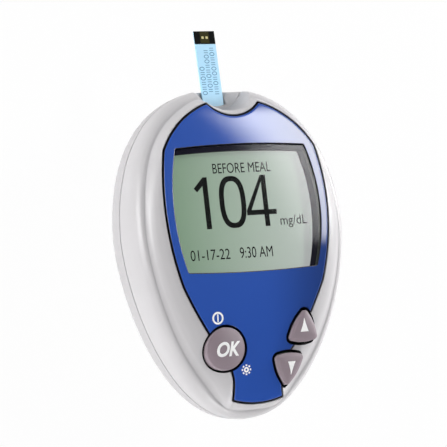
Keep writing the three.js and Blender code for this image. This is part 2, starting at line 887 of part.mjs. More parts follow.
function keypadMembrane() {
  const depth = panelThickness + wall + fitGap;
  const sheet = prism(inset(wall + creaseInset), partingHeight, caseHeight);
  const lowerEnd = box(caseWidth, caseLength, 0, caseHeight, 0, membraneTopShare * halfLength - halfLength);
  const skin = sheet.intersect(lowerEnd).intersect(underFace(depth)).subtract(underFace(depth + membraneThickness));
  const holes = buttons.map(({ path }) => prism(path(fitGap), partingHeight, caseHeight));
  const posts = screwPlaces.map(({ x, y }) => cylinder(postRadius + fitGap, partingHeight, caseHeight, x, y));
  return cutAway(skin, ...holes, ...posts);
}

// Board and what it carries

function circuitBoard() {
  const board = prism(inset(boardInset), boardBottom, boardTop);
  const holes = screwPlaces.map(({ x, y }) =>
    cylinder(screwRadius + slitGap, boardBottom - overrun, boardTop + overrun, x, y),
  );
  return cutAway(board, scoop(wall + fitGap), ...holes);
}

function processorChip() {
  const [width, depth, height] = chipSize;
  const top = boardBottom - fitGap / 2;
  return box(width, depth, top - height, top, 0, chipShare * halfLength);
}

function backlightLed(side) {
  const [width, depth, height] = ledSize;
  const bottom = boardTop + fitGap / 2;
  const x = side * (glassHalf - guideMargin + fitGap + width / 2);
  return box(width, depth, bottom, bottom + height, x, windowMiddle);
}

function dataJack() {
  const body = box(
    jackWidth,
    jackLength,
    jackZ - jackWidth / 2,
    boardBottom - fitGap,
    0,
    jackY + jackLength / 2,
  );
  const sleeve = alongY(jackSleeveRadius, jackY - jackSleeveLength, jackY + overrun, jackZ);
  const bore = alongY(jackBoreRadius, jackY - jackSleeveLength - overrun, jackY + jackLength - wall, jackZ);
  return body.add(sleeve).subtract(bore);
}

// Battery bay

const cellX = (side) => (side * cellPitch) / 2;

function batteryCell(side) {
  const inner = cellRadius - cellBevel;
  const profile = [
    [0, cellBottom],
    [inner, cellBottom],
    [cellRadius, cellBottom + cellBevel],
    [cellRadius, cellTop - 2 * cellBevel],
    [inner - cellBevel, cellTop],
    [0, cellTop],
  ];
  return turned(profile, cellX(side), bayY, roundSteps + 12);
}

const leafRoot = bayY - leafReachShare * cellRadius;
const railFace = bayY - cellRadius - fitGap;

function batteryTray() {
  const top = trayCeiling + trayRoof;
  let tray = prism(bayPath(trayWall), trayBottom, top);
  for (const side of [-1, 1]) {
    const x = cellX(side);
    tray = tray.subtract(cylinder(cellRadius + fitGap, 0, trayCeiling, x, bayY, roundSteps + 12));
    const leafSlot = box(leafWidth + 2 * slitGap, leafThickness + 2 * slitGap, 0, top + overrun, x, leafRoot);
    const railDepth = railThickness + 2 * slitGap;
    const railSlot = box(leafWidth + 2 * slitGap, railDepth, 0, top + overrun, x, railFace - railDepth / 2 + slitGap / 2);
    tray = cutAway(tray, leafSlot, railSlot, hookRoom(side));
  }
  return tray;
}

// A leaf spring over the middle of a cell, with a leg up to the board
function negativeContact(side) {
  const low = cellTop + fitGap;
  const t = leafThickness;
  const profile = [
    [leafRoot - t / 2, low],
    [bayY, low],
    [bayY, low + t],
    [leafRoot + t / 2, low + t],
    [leafRoot + t / 2, boardBottom - fitGap],
    [leafRoot - t / 2, boardBottom - fitGap],
  ];
  return alongX(profile, leafWidth, cellX(side));
}

// A flat blade that bears on the edge of a cell, up to the board
function positiveContact(side) {
  const middle = railFace - railThickness / 2;
  return box(leafWidth, railThickness, cellBottom + cellBevel, boardBottom - fitGap, cellX(side), middle);
}

const hookX = (side) => (side * doorHookPitch) / 2;
const doorEdge = bayY + doorHeight / 2;
const hingeY = doorEdge - doorThickness / 2;
const hingeZ = doorRecess;
const hookBottom = wall + fitGap;
const hookTop = hookBottom + doorHookThickness;
const hookTip = doorEdge - doorHookRoot + doorHookReach;

// The space that a hook of the door swings through
function hookRoom(side) {
  const reach = Math.hypot(hookTip - hingeY, hookTop - hingeZ) + fitGap;
  const geometry = new THREE.CylinderGeometry(reach, reach, doorHookWidth + 2 * fitGap, roundSteps);
  geometry.rotateZ(Math.PI / 2);
  return toSolid(geometry.translate(hookX(side), hingeY, hingeZ));
}

function batteryDoor() {
  const plate = prism(bayPath(0), doorRecess, doorTop);
  const root = hingeY - doorHookRoot;
  const middle = doorRecess + doorThickness / 2;
  const profile = [
    [root, middle],
    [hingeY, middle],
    [hingeY, hookBottom],
    [hookTip, hookBottom],
    [hookTip, hookTop],
    [root, hookTop],
  ];
  const hooks = [-1, 1].map((side) => alongX(profile, doorHookWidth, hookX(side)));
  return joinAll(plate, ...hooks);
}

function rearLabel() {
  const path = roundedRectangle(labelWidth, labelHeight, labelCornerRadius, labelShare * halfLength);
  return prism(path, fitGap / 2, fitGap / 2 + labelThickness);
}

function caseScrew({ x, y }) {
  const headTop = screwHeadRecess + screwHeadHeight - fitGap;
  const headBottom = headTop - screwHeadHeight;
  const profile = [
    [0, headBottom + socketDepth],
    [socketRadius, headBottom + socketDepth],
    [socketRadius, headBottom],
    [screwHeadRadius - fitGap / 2, headBottom],
    [screwHeadRadius, headBottom + fitGap],
    [screwHeadRadius, headTop],
    [screwRadius, headTop],
    [screwRadius, boardTop + screwEngagement],
    [0, boardTop + screwEngagement],
  ];
  return turned(profile, x, y, roundSteps / 2);
}

// Assembly

const finish = (color, roughness, metalness = 0) => new THREE.MeshStandardMaterial({ color, roughness, metalness });

const meter = new THREE.Group();
const casing = new THREE.Group();
meter.add(casing);
const stripTip = stripReach * Math.cos(stripTilt) + (stripThickness / 2) * Math.sin(stripTilt);
casing.position.y = -stripTip / 2;

function place(name, solid, material) {
  const mesh = new THREE.Mesh(toGeometry(solid), material);
  mesh.name = name;
  casing.add(mesh);
}

place("front_case", frontCase(), finish("#dcdcde", 0.42));
place("rear_case", rearCase(), finish("#d2d2d5", 0.5));
place("face_panel", facePanel(), finish("#2d4a93", 0.18));
const clear = finish("#dfe8ea", 0.05);
clear.transparent = true;
clear.opacity = 0.35;
place("display_window", displayWindow(), clear);
place("display_bezel", displayBezel(), finish("#262138", 0.55));
place("lcd_glass", displayGlass(), finish("#9fb0a3", 0.3));
place("backlight_guide", backlightGuide(), finish("#eceee8", 0.3));
place("lcd_connector", displayConnector(), finish("#2b2b2e", 0.8));
place("circuit_board", circuitBoard(), finish("#1f5b38", 0.5));
place("processor_chip", processorChip(), finish("#1c1c1f", 0.6));
place("backlight_led_left", backlightLed(-1), finish("#f4efd2", 0.4));
place("backlight_led_right", backlightLed(1), finish("#f4efd2", 0.4));
for (const button of buttons) {
  place(button.name + "_button", buttonCap(button), finish("#94878f", 0.6));
  place(button.name + "_dome", snapDome(button.place), finish("#c8c9cc", 0.3, 1));
}
place("keypad_membrane", keypadMembrane(), finish("#1b1a1e", 0.8));
place("strip_port", stripPort(), finish("#2a2a2d", 0.6));
place("strip_contact_left", stripContact(-contactPitch), finish("#d9b64a", 0.3, 1));
place("strip_contact_middle", stripContact(0), finish("#d9b64a", 0.3, 1));
place("strip_contact_right", stripContact(contactPitch), finish("#d9b64a", 0.3, 1));
place("test_strip", testStrip(), finish("#9fd6f4", 0.4));
place("data_jack", dataJack(), finish("#232326", 0.5));
place("battery_tray", batteryTray(), finish("#3a3a3e", 0.6));
for (const [sideName, side] of [
  ["left", -1],
  ["right", 1],
]) {
  place("battery_cell_" + sideName, batteryCell(side), finish("#c4c6c9", 0.28, 1));
  place("negative_contact_" + sideName, negativeContact(side), finish("#b9bbbe", 0.35, 1));
  place("positive_contact_" + sideName, positiveContact(side), finish("#b9bbbe", 0.35, 1));
}
place("battery_door", batteryDoor(), finish("#cfcfd2", 0.5));
place("rear_label", rearLabel(), finish("#f1f1ee", 0.6));
screwPlaces.forEach((at, i) => place("case_screw_" + (i + 1), caseScrew(at), finish("#8e9094", 0.35, 1)));

export default meter;
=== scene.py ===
"""Looks of a handheld blood glucose meter with a test strip in its port.

Shapes are made in millimetres, in the casing's own frame: X to the right, Y towards the strip
port, Z out of the display, from the middle of the casing's length and width on its flat back.
"""

import math
from collections import namedtuple

import bmesh
import bpy
import numpy as np
from mathutils import Matrix, Vector
from mathutils.geometry import delaunay_2d_cdt


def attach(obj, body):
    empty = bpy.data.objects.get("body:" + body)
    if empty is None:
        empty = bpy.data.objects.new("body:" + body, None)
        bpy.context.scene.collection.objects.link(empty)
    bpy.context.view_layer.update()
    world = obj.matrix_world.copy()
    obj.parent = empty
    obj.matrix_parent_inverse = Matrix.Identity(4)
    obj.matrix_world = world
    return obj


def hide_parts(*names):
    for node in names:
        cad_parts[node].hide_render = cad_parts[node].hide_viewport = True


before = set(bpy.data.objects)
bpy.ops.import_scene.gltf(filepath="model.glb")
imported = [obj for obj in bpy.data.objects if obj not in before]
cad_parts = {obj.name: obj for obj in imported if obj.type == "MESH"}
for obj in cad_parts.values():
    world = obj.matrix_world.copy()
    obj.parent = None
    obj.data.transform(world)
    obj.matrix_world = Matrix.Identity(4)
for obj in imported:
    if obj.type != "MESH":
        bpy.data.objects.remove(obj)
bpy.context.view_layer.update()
bpy.context.scene.view_settings.view_transform = "Standard"

MM = 0.001
CASING_SHIFT = -7.3115  # the strip sticks out at +Y, so the casing's middle lies behind the origin

# Casing
HALF_LENGTH = 39.5
HALF_WIDTH = 28.3
WIDEST_Y = 5.61
CROWN_TOP = 20.9
CROWN_Y = -2.45
CROWN_RADIUS = 177.0
PARTING = 8.987
SEAM = 0.3
SCOOP_SEAM_DEPTH = 0.05  # the seam is shallow in the scoop, where it should hardly show
WALL = 1.8
CREASE_INSET = 2.3
CREASE_DROP = 3.3
SLOPE_LEAST = 1.6  # the least width of the slope, at the panel's corners
PANEL_CORNERS = ((-6.43, -34.6), (6.43, -34.6), (-6.9, 35.1), (6.9, 35.1))
BACK_ROUND = 5.0
BACK_POWER = 2.4
RIM_SMOOTHING = 100
SHELL_ANGLE = 40  # degrees between faces, beyond which a shell's edge is sharp

# Scoop at the strip port
SCOOP_CENTRE = (0.0, 42.5, 17.5)
SCOOP_RADII = (7.9, 8.8, 12.2)
SCOOP_PLAN_POWER = 2.3
SCOOP_WALL_POWER = 3
SCOOP_LIP = 0.07
SCOOP_REACH = 1.8  # shares of the scoop's radii within which its lip bends the casing
SCOOP_LEAST_Y = 20

# Face panel and display
PANEL_THICKNESS = 1.2
PANEL_GAP = 0.3
PANEL_EDGE_ROUND = 0.42
LCD_MIDDLE_Y = 10.13
LCD_DEPTH = 4.1
LCD_TILT = -0.0711
LCD_THICKNESS = 2.0

# Keys
OK_AT = (-8.46, -22.55)
OK_RADIUS = 5.05
UP_AT = (12.17, -19.28)
DOWN_AT = (8.21, -27.73)
ARROW_TIP_REACH = 3.396
ARROW_TIP_SHIFT = 0.6
ARROW_BASE_REACH = 1.749
ARROW_BASE_HALF = 2.751
ARROW_CORNER = 1.2
ARROW_BULGE = 0.35
KEY_GAP = 0.55

# Strip
STRIP_TILT = math.radians(6.7)
STRIP_RIM_HEIGHT = 6.347
STRIP_WIDTH = 5.5
STRIP_THICKNESS = 0.4
STRIP_TIP = 14.7
STRIP_END = -13.3


def crown(y):
    return CROWN_TOP - (y - CROWN_Y) ** 2 / (2 * CROWN_RADIUS)


def under_crown(drop):
    """The height of a surface that lies below the crown."""
    return lambda y: crown(y) - drop


def lcd_height(y):
    return crown(LCD_MIDDLE_Y) - LCD_DEPTH + LCD_TILT * (y - LCD_MIDDLE_Y)


# Outlines

def bezier(p0, p1, p2, p3, steps):
    t = np.linspace(0, 1, steps + 1)[:, None]
    p0, p1, p2, p3 = (np.array(p, float) for p in (p0, p1, p2, p3))
    return (1 - t) ** 3 * p0 + 3 * (1 - t) ** 2 * t * p1 + 3 * (1 - t) * t ** 2 * p2 + t ** 3 * p3


def casing_outline():
    """The egg-shaped outline, anticlockwise from the foot."""
    a, c, y0 = HALF_WIDTH, HALF_LENGTH, WIDEST_Y
    low = bezier((0, -c), (0.671 * a, -c), (a, y0 - 0.307 * (c + y0)), (a, y0), 400)
    high = bezier((a, y0), (a, y0 + 0.3 * (c - y0)), (0.888 * a, c), (0, c), 400)
    right = np.vstack([low[:-1], high])
    left = right[1:-1][::-1] * (-1, 1)
    return np.vstack([right, left])


def arc(a, b, bulge, steps):
    """Points after a, up to b, on an arc that bulges to the right of the way from a to b."""
    a, b = np.array(a, float), np.array(b, float)
    along = b - a
    chord = np.hypot(*along)
    along = along / chord
    right = np.array((along[1], -along[0]))
    share = np.linspace(0, 1, steps + 1)[1:, None] - 0.5
    if abs(bulge) < 1e-6:
        return (a + b) / 2 + along * chord * share
    angle = 4 * math.atan(2 * bulge / chord)
    radius = chord / 2 / math.sin(angle / 2)
    turn = angle * share
    out = radius * (np.cos(turn) - math.cos(angle / 2))
    return (a + b) / 2 + along * radius * np.sin(turn) + right * out


def mirrored_path(right, top_bulge, top_steps):
    """A closed path, alike on both sides of X = 0. Each corner on the right: x, y, bulge, steps."""
    points = []
    at = (-right[0][0], right[0][1])
    for x, y, bulge, steps in right:
        points.append(arc(at, (x, y), bulge, steps))
        at = (x, y)
    points.append(arc(at, (-at[0], at[1]), top_bulge, top_steps))
    for (x, y, bulge, steps), (nx, ny, _, _) in zip(right[:0:-1], right[-2::-1]):
        points.append(arc((-x, y), (-nx, ny), bulge, steps))
    return np.vstack(points)


def round_corners(path, radius, passes=3, sharp=18):
    """Softens each corner that turns by more than a few degrees."""
    out = []
    count = len(path)
    for i, point in enumerate(path):
        before, after = path[i - 1] - point, path[(i + 1) % count] - point
        lb, la = np.hypot(*before), np.hypot(*after)
        cos = np.dot(before, after) / (lb * la)
        turn = 180 - math.degrees(math.acos(np.clip(cos, -1, 1)))
        if turn < sharp:
            out.append(point)
            continue
        cut = min(radius, 0.45 * lb, 0.45 * la)
        start, end = point + before / lb * cut, point + after / la * cut
        for t in np.linspace(0, 1, passes + 2):
            out.append((1 - t) ** 2 * start + 2 * t * (1 - t) * point + t ** 2 * end)
    return np.array(out)


def normals(path):
    """The outward normal at each point of an anticlockwise path."""
    edges = np.roll(path, -1, axis=0) - path
    out = np.stack([edges[:, 1], -edges[:, 0]], axis=1)
    out /= np.linalg.norm(out, axis=1)[:, None]
    both = out + np.roll(out, 1, axis=0)
    both /= np.linalg.norm(both, axis=1)[:, None]
    return both, np.maximum((both * out).sum(axis=1), 0.5)


def grow(path, distance):
    """The path moved outwards, or inwards by a negative distance."""
    both, cosine = normals(path)
    return path + both * (distance / cosine)[:, None]


def circle(radius, x=0.0, y=0.0, steps=72):
    angle = np.arange(steps) * 2 * math.pi / steps
    return np.stack([x + radius * np.cos(angle), y + radius * np.sin(angle)], axis=1)


def rounded_rectangle(width, height, radius, y=0.0, steps=12):
    points = []
    for sx, sy, start in ((1, -1, -0.25), (1, 1, 0.0), (-1, 1, 0.25), (-1, -1, 0.5)):
        angle = (start + np.linspace(0, 0.25, steps + 1)) * 2 * math.pi
        points.append(np.stack([
            sx * (width / 2 - radius) + radius * np.cos(angle),
            y + sy * (height / 2 - radius) + radius * np.sin(angle),
        ], axis=1))
    return np.vstack(points)


def rounded_triangle(x, y, tip, margin):
    """The outline of an arrow key. tip is 1 for a key that points up and -1 for one that points down."""
    corners = [
        np.array((x + ARROW_TIP_SHIFT * tip, y + ARROW_TIP_REACH * tip)),
        np.array((x - ARROW_BASE_HALF * tip, y - ARROW_BASE_REACH * tip)),
        np.array((x + ARROW_BASE_HALF * tip, y - ARROW_BASE_REACH * tip)),
    ]
    radius = ARROW_CORNER + margin
    path = []
    for i, corner in enumerate(corners):
        before, after = corners[i - 1], corners[(i + 1) % 3]
        n_in = np.array((corner[1] - before[1], before[0] - corner[0]))
        n_out = np.array((after[1] - corner[1], corner[0] - after[0]))
        n_in, n_out = n_in / np.hypot(*n_in), n_out / np.hypot(*n_out)
        start = math.atan2(n_in[1], n_in[0])
        sweep = (math.atan2(n_out[1], n_out[0]) - start) % (2 * math.pi)
        angle = start + sweep * np.linspace(0, 1, 13)
        path.append(corner + radius * np.stack([np.cos(angle), np.sin(angle)], axis=1))
        path.append(arc(corner + n_out * radius, after + n_out * radius, ARROW_BULGE, 12)[:-1])
    return np.vstack(path)


def panel_outline(fine=5):
    corners = [
        (6.45, -34.68, 1.0, 6 * fine),
        (6.2, -30.0, -0.1, 3 * fine),
        (9.9, -22.6, -0.6, 4 * fine),
        (18.31, -7.8, 0.4, 5 * fine),
        (19.87, 24.3, 2.18, 10 * fine),
        (6.9, 35.15, 1.7, 8 * fine),
    ]
    return round_corners(mirrored_path(corners, -3.05, 24 * fine), 0.5)


def window_outline(fine=5):
    corners = [(17.04, -4.4, 0.5, 8 * fine), (17.07, 24.65, 2.24, 10 * fine)]
    return round_corners(mirrored_path(corners, 0.66, 8 * fine), 0.5)


OUTLINE = casing_outline()
PANEL = panel_outline()
WINDOW = window_outline()

# Each key: its middle, its outline grown by a margin, the rise of its rim and dome, and the play round it
Key = namedtuple("Key", "at path rim dome play")
KEYS = {
    "ok": Key(OK_AT, lambda m: circle(OK_RADIUS + m, *OK_AT, 96), 0.1, 0.9, 0.0),
    "up": Key(UP_AT, lambda m: rounded_triangle(*UP_AT, 1, m), 0.5, 1.1, 0.2),
    "down": Key(DOWN_AT, lambda m: rounded_triangle(*DOWN_AT, -1, m), 0.5, 1.1, 0.2),
}


def closed(points):
    return np.vstack([points, points[:1]])


OUTLINE_STEPS = np.linalg.norm(np.diff(closed(OUTLINE), axis=0), axis=1)
OUTLINE_RUN = np.concatenate([[0], np.cumsum(OUTLINE_STEPS)])


RAY_SHARE = 0.6  # rays to the rim start on the middle line at this share of the point's Y


def beyond(point):
    """How far along the casing's outline a ray from the middle line through a point meets it."""
    start = np.array((0.0, RAY_SHARE * point[1]))
    direction = (point - start) / np.hypot(*(point - start))
    relative = OUTLINE - start
    side = direction[0] * relative[:, 1] - direction[1] * relative[:, 0]
    ahead = relative @ direction > 0
    after = np.roll(side, -1)
    i = int(np.argmax(ahead & (side <= 0) & (after > 0)))
    return OUTLINE_RUN[i] + side[i] / (side[i] - after[i]) * (OUTLINE_RUN[i + 1] - OUTLINE_RUN[i])


def rim_spread():
    """A length along the casing's outline for each point of the panel's, with gently changing steps."""
    whole = OUTLINE_RUN[-1]
    runs = np.array([beyond(p) for p in PANEL])
    steps = (np.roll(runs, -1) - runs) % whole
    for _ in range(RIM_SMOOTHING):
        steps = eased(steps)
    anchor = int(np.argmin(np.abs(PANEL[:, 0]) + (PANEL[:, 1] > 0) * 100))
    spread = np.concatenate([[0], np.cumsum(np.roll(steps, -anchor))[:-1]])
    return (runs[anchor] + np.roll(spread, anchor)) % whole


def eased(values):
    """Each value of a closed row, drawn towards its neighbours."""
    return (np.roll(values, 1) + 2 * values + np.roll(values, -1)) / 4


def along_outline(runs, values):
    """Pairs that belong to the outline's points, read off at lengths along it."""
    return np.stack([np.interp(runs, OUTLINE_RUN, closed(values)[:, k]) for k in (0, 1)], axis=1)


RIM_RUNS = rim_spread()
RIM_POINTS = along_outline(RIM_RUNS, OUTLINE)
RIM_NORMALS = along_outline(RIM_RUNS, normals(OUTLINE)[0])
RIM_NORMALS /= np.linalg.norm(RIM_NORMALS, axis=1)[:, None]


def inset(distance):
    """The casing's outline moved inwards, with one point for each of the panel's."""
    return RIM_POINTS - RIM_NORMALS * np.reshape(distance, (-1, 1))


# Meshes

def to_world(points):
    points = np.asarray(points, float).copy()
    points[:, 1] += CASING_SHIFT
    return points * MM


def add_object(name, data):
    added = bpy.data.objects.new(name, data)
    bpy.context.scene.collection.objects.link(added)
    return added


def make(name, points, faces, material=None, angle=30.0):
    """A mesh object from points in millimetres, smooth but for edges sharper than the angle."""
    mesh = bpy.data.meshes.new(name)
    mesh.from_pydata(to_world(points).tolist(), [], [list(f) for f in faces])
    bm = bmesh.new()
    bm.from_mesh(mesh)
    bmesh.ops.remove_doubles(bm, verts=bm.verts, dist=1e-7)
    bmesh.ops.recalc_face_normals(bm, faces=bm.faces)
    bm.to_mesh(mesh)
    bm.free()
    piece = add_object(name, mesh)
    shade(piece, angle)
    if material:
        mesh.materials.append(material)
    return piece


def shade(piece, angle):
    piece.data.shade_smooth()
    piece.data.set_sharp_from_angle(angle=math.radians(angle))


def dress(piece, material, angle):
    """Gives a piece its one material, and sharp edges where faces turn by more than the angle."""
    piece.data.materials.clear()
    piece.data.materials.append(material)
    shade(piece, angle)


def loft(name, rings, material=None, wrap=False, caps=True, angle=30.0):
    """A body through rings of equal point counts, closed by caps or by wrapping round to the first ring."""
    levels, count = len(rings), len(rings[0])
    i = np.arange(count)
    j = (i + 1) % count
    faces = []
    for level in range(levels if wrap else levels - 1):
        a = level * count
        b = ((level + 1) % levels) * count
        faces += np.stack([a + i, a + j, b + j, b + i], axis=1).tolist()
    if caps and not wrap:
        last = (levels - 1) * count
        faces += [list(range(count)), list(range(last, last + count))]
    return make(name, np.vstack(rings), faces, material, angle)


def lift(path, height):
    """The path as a ring at a height, which may depend on Y."""
    z = height(path[:, 1]) if callable(height) else np.full(len(path), float(height))
    return np.column_stack([path, z])


def inside(points, polygon):
    """Which points lie inside the polygon."""
    x, y = points[:, 0][:, None], points[:, 1][:, None]
    x0, y0 = polygon[:, 0][None], polygon[:, 1][None]
    x1, y1 = np.roll(polygon[:, 0], -1)[None], np.roll(polygon[:, 1], -1)[None]
    crosses = (y0 > y) != (y1 > y)
    with np.errstate(divide="ignore", invalid="ignore"):
        at = (x1 - x0) * (y - y0) / (y1 - y0) + x0
    return (crosses & (x < at)).sum(axis=1) % 2 == 1


def edge_distance(points, polygon):
    """How far each point lies from the polygon's edge."""
    a, b = polygon, np.roll(polygon, -1, axis=0)
    ab = b - a
    length = (ab ** 2).sum(axis=1)
    best = np.full(len(points), 1e9)
    for start, along, size in zip(a, ab, length):
        t = np.clip(((points - start) @ along) / max(size, 1e-12), 0, 1)
        gap = points - start - t[:, None] * along
        best = np.minimum(best, np.hypot(gap[:, 0], gap[:, 1]))
    return best


ROW_SHARE = 0.87  # rows of a grid of even triangles, as a share of the spacing along a row
CLEAR_SHARE = 0.35  # how far the grid stays off the sheet's edge


def sheet(outer, holes=(), offsets=(), spacing=1.2, loops=()):
    """Triangles of a sheet with an outline and holes. offsets and loops are extra loops inside it."""
    loops = [outer] + [grow(outer, -d) for d in offsets] + list(holes) + list(loops)
    points, edges = [], []
    for loop in loops:
        base = len(points)
        points += [Vector(p) for p in loop]
        edges += [(base + i, base + (i + 1) % len(loop)) for i in range(len(loop))]
    low, high = outer.min(axis=0), outer.max(axis=0)
    grid = np.array([
        (x + (0.5 * spacing if row % 2 else 0), y)
        for row, y in enumerate(np.arange(low[1], high[1], spacing * ROW_SHARE))
        for x in np.arange(low[0], high[0], spacing)
    ])
    deep = max(offsets, default=0) + CLEAR_SHARE * spacing
    keep = inside(grid, outer) & (edge_distance(grid, outer) > deep)
    points += [Vector(p) for p in grid[keep]]
    result = delaunay_2d_cdt(points, edges, [], 0, 1e-5)
    spots = np.array([tuple(v) for v in result[0]])
    triangles = np.array(result[2])
    middle = spots[triangles].mean(axis=1)
    good = inside(middle, outer)
    for hole in holes:
        good &= ~inside(middle, hole)
    triangles = triangles[good]
    used, triangles = np.unique(triangles, return_inverse=True)
    return spots[used], triangles.reshape(-1, 3)


def plate(name, spots, triangles, top, bottom, material):
    """A closed plate over the sheet, between two heights that depend on the place."""
    count = len(spots)
    points = np.vstack([np.column_stack([spots, top]), np.column_stack([spots, bottom])])
    edges = {}
    for a, b, c in triangles:
        for edge in ((a, b), (b, c), (c, a)):
            key = (min(edge), max(edge))
            edges[key] = None if key in edges else edge
    faces = [tuple(t) for t in triangles]
    faces += [(c + count, b + count, a + count) for a, b, c in triangles]
    faces += [(e[1], e[0], e[0] + count, e[1] + count) for e in edges.values() if e]
    return make(name, points, faces, material)


def carve(piece, cutters):
    """Cuts the cutters out of the piece and deletes them."""
    for cutter in cutters:
        step = piece.modifiers.new("carve", "BOOLEAN")
        step.operation = "DIFFERENCE"
        step.solver = "EXACT"
        step.object = cutter
    graph = bpy.context.evaluated_depsgraph_get()
    mesh = bpy.data.meshes.new_from_object(piece.evaluated_get(graph))
    piece.modifiers.clear()
    piece.data = mesh
    for cutter in cutters:
        bpy.data.objects.remove(cutter)


def join(base, *others):
    """Adds the meshes of the others to the base."""
    bm = bmesh.new()
    bm.from_mesh(base.data)
    for other in others:
        bm.from_mesh(other.data)
        bpy.data.objects.remove(other)
    bm.to_mesh(base.data)
    bm.free()


def rod(name, radius, start, end, material=None, steps=48):
    """A round rod between two places."""
    start, end = Vector(start), Vector(end)
    along = (end - start).normalized()
    side = along.orthogonal().normalized()
    up = along.cross(side)
    angles = [2 * math.pi * i / steps for i in range(steps)]
    spokes = [(side * math.cos(angle) + up * math.sin(angle)) * radius for angle in angles]
    return loft(name, [np.array([centre + spoke for spoke in spokes]) for centre in (start, end)], material)


def box_rings(low, high):
    """The lower and the upper ring of a box."""
    (x0, y0, z0), (x1, y1, z1) = low, high
    corners = np.array([(x0, y0), (x1, y0), (x1, y1), (x0, y1)], float)
    return [lift(corners, z0), lift(corners, z1)]


def turned(name, profile, x, y, material=None, steps=48):
    """A body of revolution about a line along Z, from radius and height pairs that start and end on it."""
    rings = [np.array([(x, y, profile[0][1])] * steps)]
    for radius, height in profile[1:-1]:
        rings.append(lift(circle(radius, x, y, steps), height))
    rings.append(np.array([(x, y, profile[-1][1])] * steps))
    return loft(name, rings, material, caps=False)


def spline(controls, steps):
    """Rings between the control rings, on Catmull-Rom curves."""
    p = np.array([2 * controls[0] - controls[1]] + list(controls) + [2 * controls[-1] - controls[-2]])
    rings = []
    for k in range(1, len(p) - 2):
        for t in np.arange(steps) / steps:
            rings.append(0.5 * (
                2 * p[k] + (p[k + 1] - p[k - 1]) * t
                + (2 * p[k - 1] - 5 * p[k] + 4 * p[k + 1] - p[k + 2]) * t ** 2
                + (3 * p[k] - p[k - 1] - 3 * p[k + 1] + p[k + 2]) * t ** 3
            ))
    return rings + [controls[-1]]


def scooped(ring, extra=0.0):
    """Pushes the points of a ring that lie in the scoop out to its wall, level by level."""
    ring = ring.copy()
    cx, cy, cz = SCOOP_CENTRE
    rx, ry, rz = (r + extra for r in SCOOP_RADII)
    x, y, z = ring[:, 0] - cx, ring[:, 1] - cy, ring[:, 2]
    depth = np.clip((cz - z) / rz, 0, 1)
    reach = np.maximum(1 - depth ** SCOOP_WALL_POWER, 0) ** (1 / SCOOP_WALL_POWER)
    power = SCOOP_PLAN_POWER
    plan = (np.abs(x / rx) ** power + np.abs(y / ry) ** power) ** (1 / power)
    near = (plan < SCOOP_REACH) & (reach > 1e-3) & (ring[:, 1] > SCOOP_LEAST_Y)
    plan = np.maximum(plan, 1e-3)
    gap = plan - reach
    width = SCOOP_LIP * np.clip(SCOOP_REACH - plan, 0, 1)
    pushed = reach + 0.5 * (gap + np.sqrt(gap ** 2 + width ** 2))
    scale = np.where(near, pushed / plan, 1)
    ring[:, 0] = cx + x * scale
    ring[:, 1] = cy + y * scale
    return ring


# Materials

def linear(code):
    """An sRGB hex colour as linear values."""
    values = [int(code[i:i + 2], 16) / 255 for i in (1, 3, 5)]
    return tuple(v / 12.92 if v <= 0.04045 else ((v + 0.055) / 1.055) ** 2.4 for v in values) + (1.0,)


def node(tree, kind, links=(), values=(), **settings):
    """Adds a node.

    links are (socket, source) pairs, values are (socket, value) pairs, and settings name sockets
    or the node's own properties.
    """
    added = tree.nodes.new(kind)
    for key, value in settings.items():
        name = key.replace("_", " ")
        socket = added.inputs.get(name) or added.inputs.get(name.title())
        if hasattr(added, key):
            setattr(added, key, value)
        elif socket is not None:
            socket.default_value = value
        else:
            raise ValueError(f"{kind} has no {key}")
    for socket, value in values:
        added.inputs[socket].default_value = value
    for socket, source in links:
        tree.links.new(source, added.inputs[socket])
    return added


def surface(name, color, roughness, grain=None, variation=None, **settings):
    """A material with one Principled surface, with fine grain where that is given."""
    material = bpy.data.materials.new(name)
    material.use_nodes = True
    shader = material.node_tree.nodes["Principled BSDF"]
    shader.inputs["Base Color"].default_value = linear(color)
    shader.inputs["Roughness"].default_value = roughness
    for key, value in settings.items():
        shader.inputs[key.replace("_", " ").title().replace("Ior", "IOR")].default_value = value
    if grain:
        add_grain(material.node_tree, shader, *grain, variation)
    return material


CLOUD_SCALE = 60.0  # the colour drifts over 17 mm or so, as in moulded or printed plastic


def add_grain(tree, shader, size_mm, depth_mm, smoothest, roughest, variation):
    """Grain of a real size: bump and a spread of roughness, with a little variation of the colour."""
    place = node(tree, "ShaderNodeTexCoord").outputs["Object"]
    noise = node(tree, "ShaderNodeTexNoise", [("Vector", place)], Scale=1 / (size_mm * MM), Detail=3.0)
    bump = node(tree, "ShaderNodeBump", [("Height", noise.outputs["Fac"])],
                Strength=0.6, Distance=depth_mm * MM)
    spread = node(tree, "ShaderNodeMapRange", [("Value", noise.outputs["Fac"])],
                  to_min=smoothest, to_max=roughest)
    tree.links.new(bump.outputs["Normal"], shader.inputs["Normal"])
    tree.links.new(spread.outputs["Result"], shader.inputs["Roughness"])
    if variation:
        broad = node(tree, "ShaderNodeTexNoise", [("Vector", place)], Scale=CLOUD_SCALE, Detail=2.0)
        base = shader.inputs["Base Color"]
        mix = node(tree, "ShaderNodeMix", [(0, broad.outputs["Fac"])],
                   [(6, base.default_value), (7, linear(variation))], data_type="RGBA")
        tree.links.new(mix.outputs[2], base)


def shader_of(material):
    return material.node_tree, material.node_tree.nodes["Principled BSDF"]


